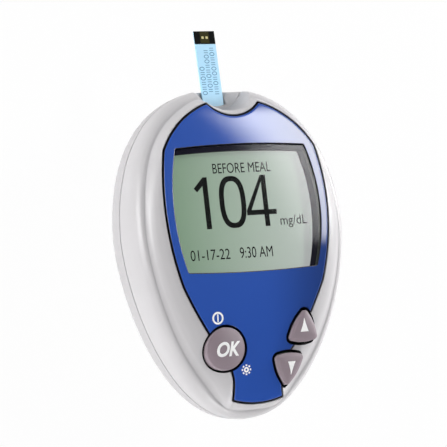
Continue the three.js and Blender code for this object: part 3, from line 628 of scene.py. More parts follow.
def painted_hollow_shade(material, color, reach_mm):
    """Painted shade: a darker tone where the surface is hollow, such as the scoop and the groove beside the
    panel.
    """
    tree, shader = shader_of(material)
    open_share = node(tree, "ShaderNodeAmbientOcclusion", samples=8, Distance=reach_mm * MM)
    spread = node(tree, "ShaderNodeMapRange", [("Value", open_share.outputs["AO"])],
                  interpolation_type="SMOOTHSTEP", from_min=0.45)
    base = shader.inputs["Base Color"].links[0].from_socket
    mix = node(tree, "ShaderNodeMix", [(0, spread.outputs["Result"]), (7, base)],
               [(6, linear(color))], data_type="RGBA")
    tree.links.new(mix.outputs[2], shader.inputs["Base Color"])


def share_across(tree, start, end, **settings):
    """A share that goes from 0 to 1 along the piece's own X, between two places in millimetres."""
    place = node(tree, "ShaderNodeTexCoord")
    across = node(tree, "ShaderNodeSeparateXYZ", [(0, place.outputs["Object"])])
    share = node(tree, "ShaderNodeMapRange", [(0, across.outputs["X"])],
                 from_min=start * MM, from_max=end * MM, **settings)
    return share.outputs["Result"]


# Satin injection-moulded ABS, white: broad soft highlights, and a grain too fine to see, drawn at 0.25 mm
satin_white_abs = surface(
    "satin_white_abs", "#bebcbe", 0.38, (0.25, 0.004, 0.32, 0.42), "#c5c3c5", ior=1.52)
# Painted shade: the white casing darkens in its hollows, the scoop and the groove beside the panel
painted_hollow_shade(satin_white_abs, "#8e9199", 9)

# The lower shell comes from a spark-eroded mould: the same white, with a duller grain
grained_white_abs = surface(
    "grained_white_abs", "#b8b6b8", 0.5, (0.35, 0.012, 0.44, 0.58), "#bfbdbf", ior=1.52)

# Blue print under a polished clear acrylic skin: deep colour under a clear coat that mirrors the lamps
blue_backed_acrylic = surface(
    "blue_backed_acrylic", "#2a57b6", 0.42, (0.5, 0.002, 0.38, 0.46), "#2751ac",
    coat_weight=1.0, coat_roughness=0.05, coat_ior=1.49, specular_ior_level=0.05)
tree, shader = shader_of(blue_backed_acrylic)
print_color = shader.inputs["Base Color"]
# Painted shade: the blue darkens towards the right, from 2 mm to 20 mm along X
painted_shade_share = share_across(tree, 2, 20, interpolation_type="SMOOTHSTEP")
mix = node(tree, "ShaderNodeMix", [(0, painted_shade_share), (6, print_color.links[0].from_socket)],
           [(7, linear("#173a80"))], data_type="RGBA")
tree.links.new(mix.outputs[2], print_color)

# Painted shade: the panel's side and its outermost edge are near black, as the gap beside them lies in
# shadow
painted_edge_shade = surface("painted_edge_shade", "#05060f", 0.3, (0.3, 0.004, 0.26, 0.36))

# Polished clear acrylic: the face mirrors the lamps as far as the angle lets it, and the rest is clear
clear_acrylic = surface("clear_acrylic", "#ffffff", 0.05)
clear_acrylic_edge = surface("clear_acrylic_edge", "#ffffff", 0.05)
for material in (clear_acrylic, clear_acrylic_edge):
    tree, shader = shader_of(material)
    tree.nodes.remove(shader)
    body = node(tree, "ShaderNodeBsdfTransparent", Color=linear("#fafcfb"))
    if material is clear_acrylic:
        gloss = node(tree, "ShaderNodeBsdfGlossy", Color=linear("#ffffff"), Roughness=0.06)
        share = node(tree, "ShaderNodeFresnel", IOR=1.27)
        links = [(0, share.outputs[0]), (1, body.outputs[0]), (2, gloss.outputs[0])]
        body = node(tree, "ShaderNodeMixShader", links)
    tree.links.new(body.outputs[0], tree.nodes["Material Output"].inputs["Surface"])

# Matte ABS of the frame round the display, dark violet: it swallows the light beside the glass
matte_violet_abs = surface(
    "matte_violet_abs", "#171230", 0.6, (0.3, 0.01, 0.42, 0.58), specular_ior_level=0.05)

# Grey-green polariser film over the liquid crystal: a flat tone, with a painted glow that brightens towards
# the right in place of the lamps' reflection and lifts the frame's shadow on it
polariser_film_with_painted_glow = surface(
    "polariser_film_with_painted_glow", "#93ab93", 0.6, (0.2, 0.002, 0.55, 0.65), "#8fa78f",
    specular_ior_level=0.1, emission_strength=1.0)
tree, shader = shader_of(polariser_film_with_painted_glow)
# Painted light: the glow grows from dim green at the left to pale grey at the right
mix = node(tree, "ShaderNodeMix", [(0, share_across(tree, -16, 16))],
           [(6, linear("#697a6a")), (7, linear("#acabad"))], data_type="RGBA")
tree.links.new(mix.outputs[2], shader.inputs["Emission Color"])

# Segments and dots of the liquid crystal: flat and nearly black
lcd_ink = surface("lcd_ink", "#030504", 0.5, specular_ior_level=0.1)
lcd_ink_small = surface("lcd_ink_small", "#060907", 0.5, specular_ior_level=0.1)

# Soft-touch silicone rubber keys: mauve grey, with a velvety sheen
mauve_silicone = surface(
    "mauve_silicone", "#8b7c85", 0.5, (0.3, 0.01, 0.44, 0.6), "#93858c",
    sheen_weight=0.15, sheen_roughness=0.5)

# Screen-printed enamel ink: plain opaque white
white_ink = surface("white_ink", "#ffffff", 0.45)

# Moulded silicone rubber, dark: soft and dull. It also serves as painted shade in the seams round the panel
# and keys, and on the keys' walls
dark_rubber_and_shade = surface("dark_rubber_and_shade", "#18171b", 0.7, (0.3, 0.01, 0.62, 0.8))

# Glass-filled polymer of the connectors and the tray: near black, with a half-dull grain
black_polymer = surface("black_polymer", "#232327", 0.5, (0.3, 0.01, 0.42, 0.6))
grey_polymer = surface("grey_polymer", "#3a3a40", 0.5, (0.3, 0.01, 0.42, 0.6))

# Polyester strip with a satin coat: pale blue, with a black carbon end, a gilt window and teal print
blue_polyester = surface(
    "blue_polyester", "#a4e0ff", 0.35, (0.2, 0.002, 0.3, 0.42), "#a8dbf8",
    coat_weight=0.3, coat_roughness=0.25)
black_carbon_print = surface("black_carbon_print", "#060708", 0.5, specular_ior_level=0.05)
gilt_window = surface("gilt_window", "#33300a", 0.5, specular_ior_level=0.1)
pale_reagent = surface("pale_reagent", "#d9cf8e", 0.5)
teal_print = surface("teal_print", "#2c78ad", 0.5)

# Steel, turned or rolled: bright where it is nickel-plated, greyer where it is zinc-plated
nickel_steel = surface("nickel_steel", "#c9cacc", 0.26, (0.2, 0.003, 0.2, 0.34), metallic=1.0)
spring_steel = surface("spring_steel", "#c2c3c6", 0.3, (0.2, 0.003, 0.24, 0.36), metallic=1.0)
zinc_steel = surface("zinc_steel", "#8f9196", 0.34, (0.15, 0.004, 0.28, 0.44), metallic=1.0)

# Gold plate on bronze fingers: warm and bright
gold_plate = surface("gold_plate", "#d9b64a", 0.28, (0.2, 0.002, 0.24, 0.34), metallic=1.0)

# Solder mask over woven glass laminate: deep green under a thin lacquer
solder_mask = surface(
    "solder_mask", "#1d5637", 0.35, (0.6, 0.01, 0.3, 0.45), "#1a4d31", coat_weight=0.4, coat_roughness=0.2)

# Moulded epoxy of the chip: black and dull
epoxy_black = surface("epoxy_black", "#1b1b1e", 0.55, (0.2, 0.006, 0.5, 0.62))

# Frosted acrylic and clear resin of the backlight: pale and smooth
frosted_acrylic = surface("frosted_acrylic", "#e9ebe6", 0.3, (0.3, 0.004, 0.26, 0.36))
clear_resin = surface("clear_resin", "#f2edcf", 0.3, (0.3, 0.004, 0.26, 0.36))

# Label stock: uncoated, off-white and flat
matte_label = surface("matte_label", "#efefec", 0.6, (0.15, 0.004, 0.55, 0.68))


# Camera, at the photograph's viewing angle

CAMERA_AT = (-272.729, -28.5495, 530.825)
CAMERA_RIGHT = (0.884071, -0.079173, 0.460598)
CAMERA_UP = (0.053411, 0.996205, 0.068723)
CAMERA_BACK = (-0.464291, -0.036155, 0.884944)
CAMERA_LENS = 198.686
CAMERA_SHIFT = (-0.02169, 0.06617)
CLIP_METRES = (0.01, 10)
camera_data = bpy.data.cameras.new("photograph_view")
camera_data.sensor_width = 36
camera_data.sensor_fit = "HORIZONTAL"
camera_data.lens = CAMERA_LENS
camera_data.shift_x, camera_data.shift_y = CAMERA_SHIFT
camera_data.clip_start, camera_data.clip_end = CLIP_METRES
camera = add_object("photograph_view", camera_data)
turn = Matrix((CAMERA_RIGHT, CAMERA_UP, CAMERA_BACK)).transposed().to_4x4()
camera.matrix_world = Matrix.Translation(Vector(CAMERA_AT) * MM) @ turn
bpy.context.scene.camera = camera


# Casing, front shell

CREASE_WINDOW = 9
CREASE_SMOOTHING = 40
SPLINE_STEPS = 7
EDGE_MARGIN = 0.25
EDGE_DROP = 0.35

# The side: share of the way in to the crease, and of the way up to it
BAND = [(0.0, 0.0), (0.01, 0.24), (0.11, 0.58), (0.38, 0.81), (0.72, 0.947), (1.0, 1.0)]

# The slope: share of the way from the crease to the panel, and of the rise
SLOPE = [(0.10, 0.04), (0.22, 0.19), (0.34, 0.39), (0.52, 0.62), (0.76, 0.84), (1.0, 1.0)]

# The edge of each shell at the parting line: how far inside the rim, and how far from the seam
SEAM_EDGE = [(0.12, 0.0), (0.03, 0.05), (0.0, 0.14)]

# The inner side of the front shell: how far inside the rim, and how far below the crown or above the seam
HIGH_LINING = [(3.8, 3.2), (3.0, 4.5)]
LOW_LINING = [(1.9, 1.4), (0.7, 0.6), (0.7, 0.0)]

# The lip round the panel: how far outside the panel's gap, and how far below the crown
LIP = [(0.12, 0.39), (0.03, 0.5), (0.0, 0.7), (0.0, 1.5), (-1.2, 1.5), (-1.2, 3.0), (-0.1, 3.0)]


def crease_depth():
    """How far inside the rim the crease runs: less where the panel's corners come near."""
    near = [np.linalg.norm(RIM_POINTS - corner, axis=1) for corner in PANEL_CORNERS]
    room = np.min(near, axis=0) - PANEL_GAP - SLOPE_LEAST
    depth = np.minimum(CREASE_INSET, room)
    depth = np.min([np.roll(depth, k) for k in range(-CREASE_WINDOW, CREASE_WINDOW + 1)], axis=0)
    for _ in range(CREASE_SMOOTHING):
        depth = eased(depth)
    return depth


def front_shell():
    depth = crease_depth()
    crease = inset(depth)
    edge = grow(PANEL, PANEL_GAP + EDGE_MARGIN)
    bottom = PARTING + SEAM / 2
    controls = []
    for way, rise in BAND:
        ring = inset(way * depth)
        top = crown(ring[:, 1]) - CREASE_DROP
        controls.append(np.column_stack([ring, bottom + rise * (top - bottom)]))
    for way, rise in SLOPE:
        ring = crease + way * (edge - crease)
        z = crown(ring[:, 1]) - CREASE_DROP + rise * (CREASE_DROP - EDGE_DROP)
        controls.append(np.column_stack([ring, z]))
    lower = [scooped(lift(inset(way), bottom + rise)) for way, rise in SEAM_EDGE]
    outer = [scooped(ring) for ring in spline(controls, SPLINE_STEPS)[1:]]
    lip = [lift(grow(PANEL, PANEL_GAP + margin), under_crown(drop)) for margin, drop in LIP]
    inner = [scooped(lift(inset(way), under_crown(drop)), WALL) for way, drop in HIGH_LINING]
    inner += [scooped(lift(inset(way), bottom + rise), WALL) for way, rise in LOW_LINING]
    rings = lower + outer + lip + inner
    return loft("front_casing", rings, satin_white_abs, wrap=True, angle=SHELL_ANGLE)


def face_middles(piece):
    """The middle of each face, in the casing's frame, and how far the face looks up."""
    middles = np.array([tuple(f.center) for f in piece.data.polygons]) / MM
    middles[:, 1] -= CASING_SHIFT
    return middles, np.array([f.normal.z for f in piece.data.polygons])


def repaint(piece, material, chosen):
    """Gives a second material to the chosen faces."""
    piece.data.materials.append(material)
    second = len(piece.data.materials) - 1
    for face, take in zip(piece.data.polygons, chosen):
        if take:
            face.material_index = second


KEY_HOLE_LOW, KEY_HOLE_HIGH = 9, 24
SEAM_SHADE_DROP = 0.62
STEEP = 0.3  # a face whose normal points up by less than this is a wall

front_casing = front_shell()
key_paths = [key.path(KEY_GAP) for key in KEYS.values()]
hole_ends = (KEY_HOLE_LOW, KEY_HOLE_HIGH)
carve(front_casing, [loft("hole", [lift(path, end) for end in hole_ends]) for path in key_paths])
dress(front_casing, satin_white_abs, SHELL_ANGLE)
middles, upward = face_middles(front_casing)
seam_band = inside(middles[:, :2], grow(PANEL, PANEL_GAP + 0.06))
for key in KEYS.values():
    seam_band |= inside(middles[:, :2], key.path(KEY_GAP + 0.03))
seam_band = seam_band & (upward < STEEP) | inside(middles[:, :2], PANEL)
# Painted shade: the seam's walls and the ledge under the panel, and the walls round the keys, are dark as
# the gap's shadow
repaint(front_casing, dark_rubber_and_shade, seam_band & (middles[:, 2] < crown(middles[:, 1]) - SEAM_SHADE_DROP))
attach(front_casing, "meter")
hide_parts("front_case")


# Casing, lower shell

DOOR_WIDTH = 42.4
DOOR_LENGTH = 23.6
DOOR_CORNER = 9.0
DOOR_Y = 1.975
DOOR_LOW, DOOR_HIGH = 0.2, 1.7
LABEL_WIDTH, LABEL_HEIGHT = 19, 10
LABEL_CORNER = 1.5
LABEL_Y = -19.75
LABEL_GAP = 0.3
JACK_Z = 5.52
JACK_RADIUS = 2.7
JACK_OUT, JACK_IN = -42, -33
STRIP_SLOT = ((-3.1, -13.6, -0.5), (3.1, 3.0, 0.95))  # in the strip's own frame
BACK_SKIN = 2.6  # cutters from below end here, inside the wall's hollow
LABEL_SEAT_DEPTH = 0.5
SCREWS = [(11.49, 29.31), (-11.49, 29.31), (17.49, -14.22), (-17.49, -14.22)]
SCREW_BORE = 2.3
BACK_INSET = 9.0
LINING_ROUND = 4.2
LEVEL_STEP, FINE_LEVEL_STEP = 0.22, 0.06
SLOT_LOW, SLOT_HIGH = 5.0, 6.5  # heights at which the strip's slot needs fine levels


def rear_shell():
    top = PARTING - SEAM / 2
    lip_top = top + (SEAM - 0.02)
    profile = []
    for a in np.linspace(0, math.pi / 2, 34):
        share = math.sin(a) ** (2 / BACK_POWER)
        profile.append((BACK_ROUND * (1 - math.cos(a) ** (2 / BACK_POWER)), top * (1 - share)))
    fine = []
    for (i0, h0), (i1, h1) in zip(profile, profile[1:]):
        step = FINE_LEVEL_STEP if SLOT_LOW < h1 < SLOT_HIGH else LEVEL_STEP
        steps = max(1, int(math.ceil((h0 - h1) / step)))
        fine += [(i0 + (i1 - i0) * t / steps, h0 + (h1 - h0) * t / steps) for t in range(steps)]
    fine.append(profile[-1])
    outer = [scooped(lift(inset(way), top - drop)) for way, drop in SEAM_EDGE]
    outer += [scooped(lift(inset(i), h)) for i, h in fine if h < top - 0.2]
    outer.append(lift(inset(BACK_INSET), 0.0))
    inner = [lift(inset(BACK_INSET), WALL), lift(inset(WALL + LINING_ROUND), WALL)]
    inner += [scooped(lift(inset(WALL + i), h), WALL) for i, h in reversed(fine[::6]) if h > WALL + 0.4]
    inner += [
        scooped(lift(inset(WALL), lip_top), WALL),
        scooped(lift(inset(1.0), lip_top), SCOOP_SEAM_DEPTH),
        scooped(lift(inset(1.0), top), SCOOP_SEAM_DEPTH),
    ]
    return loft("rear_casing", outer[::-1] + inner[::-1], grained_white_abs, angle=SHELL_ANGLE)


def strip_frame(points):
    """From the strip's own frame, in which it lies along Y at height 0, to the casing's."""
    points = np.asarray(points, float)
    cos, sin = math.cos(STRIP_TILT), math.sin(STRIP_TILT)
    y = points[:, 1] * cos + points[:, 2] * sin
    z = -points[:, 1] * sin + points[:, 2] * cos
    return np.column_stack([points[:, 0], HALF_LENGTH + y, STRIP_RIM_HEIGHT + z])


def strip_block(name, low, high, material=None):
    return loft(name, [strip_frame(ring) for ring in box_rings(low, high)], material)


rear_casing = rear_shell()
door_hole = rounded_rectangle(DOOR_WIDTH + 2 * SEAM, DOOR_LENGTH + 2 * SEAM, DOOR_CORNER + SEAM, DOOR_Y)
label_seat = rounded_rectangle(
    LABEL_WIDTH + 2 * LABEL_GAP, LABEL_HEIGHT + 2 * LABEL_GAP, LABEL_CORNER + LABEL_GAP, LABEL_Y)
cutters = [
    strip_block("cutter", *STRIP_SLOT),
    loft("cutter", [lift(door_hole, -1), lift(door_hole, BACK_SKIN)]),
    loft("cutter", [lift(label_seat, -1), lift(label_seat, LABEL_SEAT_DEPTH)]),
    rod("cutter", JACK_RADIUS, (0, JACK_OUT, JACK_Z), (0, JACK_IN, JACK_Z)),
]
cutters += [rod("cutter", SCREW_BORE, (x, y, -1), (x, y, BACK_SKIN)) for x, y in SCREWS]
carve(rear_casing, cutters)
BOSS = [(0, 3.05), (2.3, 3.05), (2.3, 1.75), (3.4, 1.75), (3.4, 9.5), (0, 9.5)]
join(rear_casing, *[turned("boss", BOSS, x, y) for x, y in SCREWS])
dress(rear_casing, grained_white_abs, SHELL_ANGLE)
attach(rear_casing, "meter")
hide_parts("rear_case")


# Face panel and window

EDGE_STEPS = (0.04, 0.1, 0.18, 0.28, PANEL_EDGE_ROUND, 0.52, 0.75, 1.1)
FINE_EDGE_ROUND = 0.15
FINE_EDGE_STEPS = (0.03, 0.08, FINE_EDGE_ROUND, 0.24, 0.4)
SHADED_RIM_WIDTH = 0.1
SHADED_WINDOW_RIM_WIDTH = 0.2
PANE_GAP = 0.08
PANE_FLAT = 0.97  # faces of the window that look up by less than this belong to its edge


def rounding(distance, radius):
    """How far a rounded edge lies below the face at a distance from the edge."""
    d = np.clip(distance, 0, radius)
    return radius - np.sqrt(np.maximum(radius ** 2 - (radius - d) ** 2, 0))


def face_panel():
    holes = [WINDOW] + key_paths
    loops = [grow(hole, step) for hole in holes for step in FINE_EDGE_STEPS]
    spots, triangles = sheet(PANEL, holes, EDGE_STEPS, loops=loops)
    drop = rounding(edge_distance(spots, PANEL), PANEL_EDGE_ROUND)
    for hole in holes:
        drop = np.maximum(drop, rounding(edge_distance(spots, hole), FINE_EDGE_ROUND))
    top = crown(spots[:, 1])
    return plate(
        "face_panel_skin", spots, triangles, top - drop, top - PANEL_THICKNESS, blue_backed_acrylic)


panel = face_panel()
middles, upward = face_middles(panel)
at_edge = edge_distance(middles[:, :2], PANEL) < SHADED_RIM_WIDTH
at_edge |= edge_distance(middles[:, :2], WINDOW) < SHADED_WINDOW_RIM_WIDTH
# Painted shade: the panel's walls and a thin rim along its edge and round the window are near black
repaint(panel, painted_edge_shade, (upward < STEEP) | at_edge)
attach(panel, "meter")
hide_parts("face_panel")


def window_pane():
    path = grow(WINDOW, -PANE_GAP)
    spots, triangles = sheet(path, (), FINE_EDGE_STEPS)
    top = crown(spots[:, 1])
    drop = rounding(edge_distance(spots, path), FINE_EDGE_ROUND)
    pane = plate("window_pane", spots, triangles, top - drop, top - PANEL_THICKNESS, clear_acrylic)
    repaint(pane, clear_acrylic_edge, face_middles(pane)[1] <= PANE_FLAT)
    return pane


window = window_pane()
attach(window, "meter")
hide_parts("display_window")


# Bezel round the display

BEZEL_OVERLAP = 0.8
BEZEL_SIDE_WIDTH = 0.2
BEZEL_TOP_WIDTH = 1.4
BEZEL_TOP_GAP = 0.06
BEZEL_FOOT_GAP = 0.02


def display_frame():
    outer = grow(WINDOW, BEZEL_OVERLAP)
    low, high = WINDOW[:, 1].min(), WINDOW[:, 1].max()
    share = np.clip((WINDOW[:, 1] - low) / (high - low), 0, 1)
    opening = np.column_stack([
        WINDOW[:, 0] * (1 - BEZEL_SIDE_WIDTH / HALF_WIDTH), WINDOW[:, 1] - BEZEL_TOP_WIDTH * share])

    def top(y):
        return crown(y) - PANEL_THICKNESS - BEZEL_TOP_GAP

    def foot(y):
        return lcd_height(y) + BEZEL_FOOT_GAP

    rings = [lift(outer, top), lift(outer, foot), lift(opening, foot), lift(opening, top)]
    return loft("display_frame", rings, matte_violet_abs, wrap=True)


bezel = display_frame()
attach(bezel, "meter")
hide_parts("display_bezel")


# Display glass and what it shows

GLASS_CORNERS = [(-20, -7.585), (20, -7.585), (20, 21.85), (16.5, 25.35), (-16.5, 25.35), (-20, 21.85)]
glass_outline = np.array(GLASS_CORNERS, float)
glass_back = lift(glass_outline, lambda y: lcd_height(y) - LCD_THICKNESS)
display_glass = loft("display_glass", [glass_back, lift(glass_outline, lcd_height)], polariser_film_with_painted_glow)
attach(display_glass, "meter")
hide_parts("lcd_glass")


def flat_sheets(shapes, spacing):
    """Points and triangles of several outlines, each an outer loop or a list of one and its holes."""
    points, faces = [], []
    for shape in shapes:
        outer, *holes = shape if isinstance(shape, list) else [shape]
        spots, triangles = sheet(outer, holes, spacing=spacing)
        faces.append(triangles + sum(len(p) for p in points))
        points.append(spots)
    return np.vstack(points), np.vstack(faces)


def flat_mark(name, shapes, height, material, offset=0.02, spacing=2.0):
    """A printed mark that lies just above a surface."""
    spots, faces = flat_sheets(shapes, spacing)
    z = height(spots[:, 0], spots[:, 1]) + offset
    return make(name, np.column_stack([spots, z]), faces, material)


def words(name, text, low, high, height, material, slant=0.0, weight=0.0, offset=0.02, step=4.0):
    """A line of text, fitted to a box in X and Y, that lies just above a surface."""
    curve = bpy.data.curves.new(name, "FONT")
    curve.body = text
    curve.shear = slant
    curve.offset = weight
    curve.resolution_u = 6
    made = add_object(name, curve)
    bpy.context.view_layer.update()
    mesh = bpy.data.meshes.new_from_object(made)
    bpy.data.objects.remove(made)
    spots = np.array([v.co[:2] for v in mesh.vertices])
    least, most = spots.min(axis=0), spots.max(axis=0)
    spots = np.array(low) + (spots - least) / (most - least) * (np.array(high) - np.array(low))
    for vertex, spot in zip(mesh.vertices, spots):
        vertex.co = (*spot, 0)
    bm = bmesh.new()
    bm.from_mesh(mesh)
    bmesh.ops.triangulate(bm, faces=bm.faces)
    for _ in range(6):
        long = [e for e in bm.edges if e.calc_length() > step]
        if long:
            bmesh.ops.subdivide_edges(bm, edges=long, cuts=1)
            bmesh.ops.triangulate(bm, faces=bm.faces)
    spots = np.array([v.co[:2] for v in bm.verts])
    bm.verts.index_update()
    faces = [[v.index for v in f.verts] for f in bm.faces]
    bm.free()
    z = height(spots[:, 0], spots[:, 1]) + offset
    return make(name, np.column_stack([spots, z]), faces, material)


def on_glass(x, y):
    return lcd_height(y)


def stroke(points, width, closed=False):
    """The outline of a pen stroke with square ends along points."""
    p = np.array(points, float)
    if closed:
        return [grow(p, width / 2), grow(p, -width / 2)]
    along = np.gradient(p, axis=0)
    along /= np.linalg.norm(along, axis=1)[:, None]
    side = np.stack([along[:, 1], -along[:, 0]], axis=1) * width / 2
    return np.vstack([p + side, (p - side)[::-1]])


def oval(x, y, rx, ry, power=2.3, steps=80):
    angle = np.arange(steps) * 2 * math.pi / steps
    c, s = np.cos(angle), np.sin(angle)
    return np.stack([
        x + rx * np.sign(c) * np.abs(c) ** (2 / power),
        y + ry * np.sign(s) * np.abs(s) ** (2 / power),
    ], axis=1)


DIGIT_LOW, DIGIT_HIGH = 5.7, 18.0
digit_one = np.array([
    (-8.0, DIGIT_LOW), (-8.0, DIGIT_HIGH), (-9.1, DIGIT_HIGH),
    (-11.7, 15.4), (-10.9, 14.5), (-9.35, 15.95), (-9.35, DIGIT_LOW),
])[::-1]
digit_zero = [
    oval(-1.8, 11.85, 3.5, 6.2, 2.6),
    oval(-1.8, 11.85, 2.2, 4.95, 2.6),
]
digit_four = [
    np.array([
        (6.3, DIGIT_LOW), (7.6, DIGIT_LOW), (7.6, 8.5), (9.7, 8.5), (9.7, 9.7), (7.6, 9.7),
        (7.6, DIGIT_HIGH), (6.2, DIGIT_HIGH), (1.7, 9.6), (1.7, 8.5), (6.3, 8.5),
    ]),
    np.array([(6.3, 9.7), (6.3, 16.4), (3.0, 9.7)])[::-1],
]
reading = flat_mark("reading_digits", [digit_one, digit_zero, digit_four], on_glass, lcd_ink)
LINES = [
    ("reading_note", "BEFORE MEAL", (-6.2, 18.75), (9.3, 21.15)),
    ("reading_unit", "mg/dL", (10.4, 5.1), (17.6, 8.1)),
    ("reading_date", "01-17-22", (-14.45, -1.6), (-4.05, 0.9)),
    ("reading_time", "9:30 AM", (-1.4, -1.6), (7.4, 1.0)),
]
for mark in [reading] + [words(*line, on_glass, lcd_ink_small) for line in LINES]:
    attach(mark, "meter")


# Keys

KEY_EDGE_ROUND = 0.45
KEY_WALL_LEVELS = 18
KEY_FOOT_DROP = 3.4
KEY_ANGLE = 50
STEM_RADIUS = 1.8
STEM_LOW, STEM_HIGH = 12.53, 17.2
DOME_POWER = 2.2
DOME_RIM_INSET = 0.3
WALL_TOP_DROP = 0.6  # below the key's rim, where its wall ends and its rounded edge follows
KEY_STEEP = 0.2
SHADE_DROP = 0.35  # painted shade: the wall is dark this far below the crown, like the gap, and lower beside the panel
SHADE_SLOPE = 0.48


def key_height(key):
    """Gives the height of a key's top at a place: lower, the nearer the place is to the key's rim."""
    rim = key.path(-DOME_RIM_INSET) - np.array(key.at)
    angles = np.arctan2(rim[:, 1], rim[:, 0])
    order = np.argsort(angles)
    reach = np.hypot(rim[:, 0], rim[:, 1])

    def height(x, y):
        dx, dy = x - key.at[0], y - key.at[1]
        full = np.interp(np.arctan2(dy, dx), angles[order], reach[order], period=2 * math.pi)
        share = np.clip(np.hypot(dx, dy) / full, 0, 1)
        return crown(y) + key.rim + (key.dome - key.rim) * (1 - share ** DOME_POWER)

    return height


def key_cap(name, key):
    height = key_height(key)
    centre = np.array(key.at)
    drops = np.linspace(KEY_FOOT_DROP, WALL_TOP_DROP - key.rim, KEY_WALL_LEVELS)
    rings = [lift(key.path(-key.play), under_crown(drop)) for drop in drops]
    for angle in np.linspace(0, math.pi / 2, 8):
        ring = key.path(-key.play - KEY_EDGE_ROUND * (1 - math.cos(angle)))
        z = crown(ring[:, 1]) + key.rim - KEY_EDGE_ROUND * (1 - math.sin(angle))
        rings.append(np.column_stack([ring, z]))
    inner = key.path(-key.play - KEY_EDGE_ROUND)
    for share in [*np.linspace(1, 0, 16)[1:-1], 1e-4]:
        ring = centre + (inner - centre) * share
        rings.append(np.column_stack([ring, height(ring[:, 0], ring[:, 1])]))
    return loft(f"{name}_key_cap", rings, mauve_silicone, angle=KEY_ANGLE)


for name, key in KEYS.items():
    cap = key_cap(name, key)
    middles, upward = face_middles(cap)
    beside = np.where(inside(middles[:, :2], PANEL), 0, edge_distance(middles[:, :2], PANEL))
    around = crown(middles[:, 1]) - SHADE_DROP - SHADE_SLOPE * beside
    # Painted shade: the key's wall below the surface round it is dark, as the gap is
    repaint(cap, dark_rubber_and_shade, (upward < KEY_STEEP) & (middles[:, 2] < around))
    foot, head = (*key.at, STEM_LOW), (*key.at, STEM_HIGH)
    join(cap, rod(f"{name}_key_stem", STEM_RADIUS, foot, head, mauve_silicone))
    shade(cap, KEY_ANGLE)
    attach(cap, f"{name}_key")
    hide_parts(f"{name}_button")

top_of = {name: key_height(key) for name, key in KEYS.items()}
up_triangle = np.array([(11.0, -19.95), (13.1, -19.95), (12.2, -16.7)])
down_triangle = np.array([(9.45, -26.7), (7.4, -26.7), (8.2, -29.9)])
key_marks = {
    "ok": words(
        "ok_mark", "OK", (-11.2, -24.4), (-4.9, -20.9), top_of["ok"], white_ink,
        slant=0.25, weight=0.035, offset=0.03, step=0.35),
    "up": flat_mark("up_mark", [up_triangle], top_of["up"], white_ink, 0.03, 0.25),
    "down": flat_mark("down_mark", [down_triangle], top_of["down"], white_ink, 0.03, 0.25),
}
for name, mark in key_marks.items():
    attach(mark, f"{name}_key")


# Symbols printed on the panel

def on_panel(x, y):
    return crown(y)


def power_symbol(x, y, radius, width):
    ring = circle(radius, x, y, 56)
    bar = [(x, y + radius * share) for share in (-0.72, 0, 0.72)]
    return [stroke(ring, width, closed=True), stroke(bar, width * 0.8)]


def sun_symbol(x, y, radius, reach, width):
    shapes = [stroke(circle(radius, x, y, 40), width, closed=True)]
    for i in range(8):
        angle = math.pi / 4 * i
        out = np.array((math.cos(angle), math.sin(angle)))
        start = np.array((x, y)) + out * (radius + width)
        end = np.array((x, y)) + out * reach
        shapes.append(stroke([start, (start + end) / 2, end], width * 1.1))
    return shapes


symbols = {
    "power_symbol": power_symbol(-10.3, -15.3, 1.25, 0.44),
    "light_symbol": sun_symbol(-3.2, -27.8, 0.45, 1.25, 0.42),
}
for name, shapes in symbols.items():
    symbol = flat_mark(name, shapes, on_panel, white_ink, 0.015, 0.8)
    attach(symbol, "meter")


# Test strip

HALF_STRIP = STRIP_THICKNESS / 2
HALF_STRIP_WIDTH = STRIP_WIDTH / 2
PRINT = HALF_STRIP + 0.01
MARK_PITCH = 1.2
RING_REACH = (0.58, 0.4)
RING_LINE = 0.17
BAR_HALF_LENGTH = 0.55
BAR_HALF_WIDTH = 0.08
BAR_SHIFT = 0.26


def strip_part(name, low, high, material, lowest=-HALF_STRIP, highest=HALF_STRIP):
    piece = strip_block(name, (*low, lowest), (*high, highest), material)
    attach(piece, "strip")
    return piece


strip_sheet = strip_part(
    "strip_sheet", (-HALF_STRIP_WIDTH, STRIP_END), (HALF_STRIP_WIDTH, STRIP_TIP), blue_polyester)
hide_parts("test_strip")
strip_part(
    "strip_end_print", (-HALF_STRIP_WIDTH, STRIP_TIP - 3.2), (HALF_STRIP_WIDTH, STRIP_TIP),
    black_carbon_print, 0, PRINT)
strip_part("strip_sample_window", (-1.2, STRIP_TIP - 2.9), (1.2, STRIP_TIP), gilt_window, 0, PRINT + 0.01)
for side, x in (("left", -0.55), ("right", 0.55)):
    strip_part(
        f"strip_sample_dot_{side}", (x - 0.3, STRIP_TIP - 1.9), (x + 0.3, STRIP_TIP - 1.3),
        pale_reagent, 0, PRINT + 0.02)


def strip_column(number, x, start, kinds):
    """A row of small plain marks along the strip: rings for o and pairs of bars for i."""
    shapes = []
    for place, kind in enumerate(kinds):
        y = start + MARK_PITCH * place
        if kind == "o":
            shapes.append(stroke(oval(x, y, *RING_REACH, 2.0, 28), RING_LINE, closed=True))
            continue
        for middle in (y - BAR_SHIFT, y + BAR_SHIFT):
            left, right = x - BAR_HALF_LENGTH, x + BAR_HALF_LENGTH
            low, high = middle - BAR_HALF_WIDTH, middle + BAR_HALF_WIDTH
            shapes.append(np.array([(left, low), (right, low), (right, high), (left, high)]))
    spots, faces = flat_sheets(shapes, 2.0)
    piece = make(f"strip_marks_{number}", strip_frame(lift(spots, PRINT)), faces, teal_print)
    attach(piece, "strip")


strip_column(1, -1.8, -0.6, "oiioio")
strip_column(2, -0.2, 0.0, "ioioiiooi")
strip_column(3, 1.4, -0.6, "iioiooiioi")


# Back of the meter

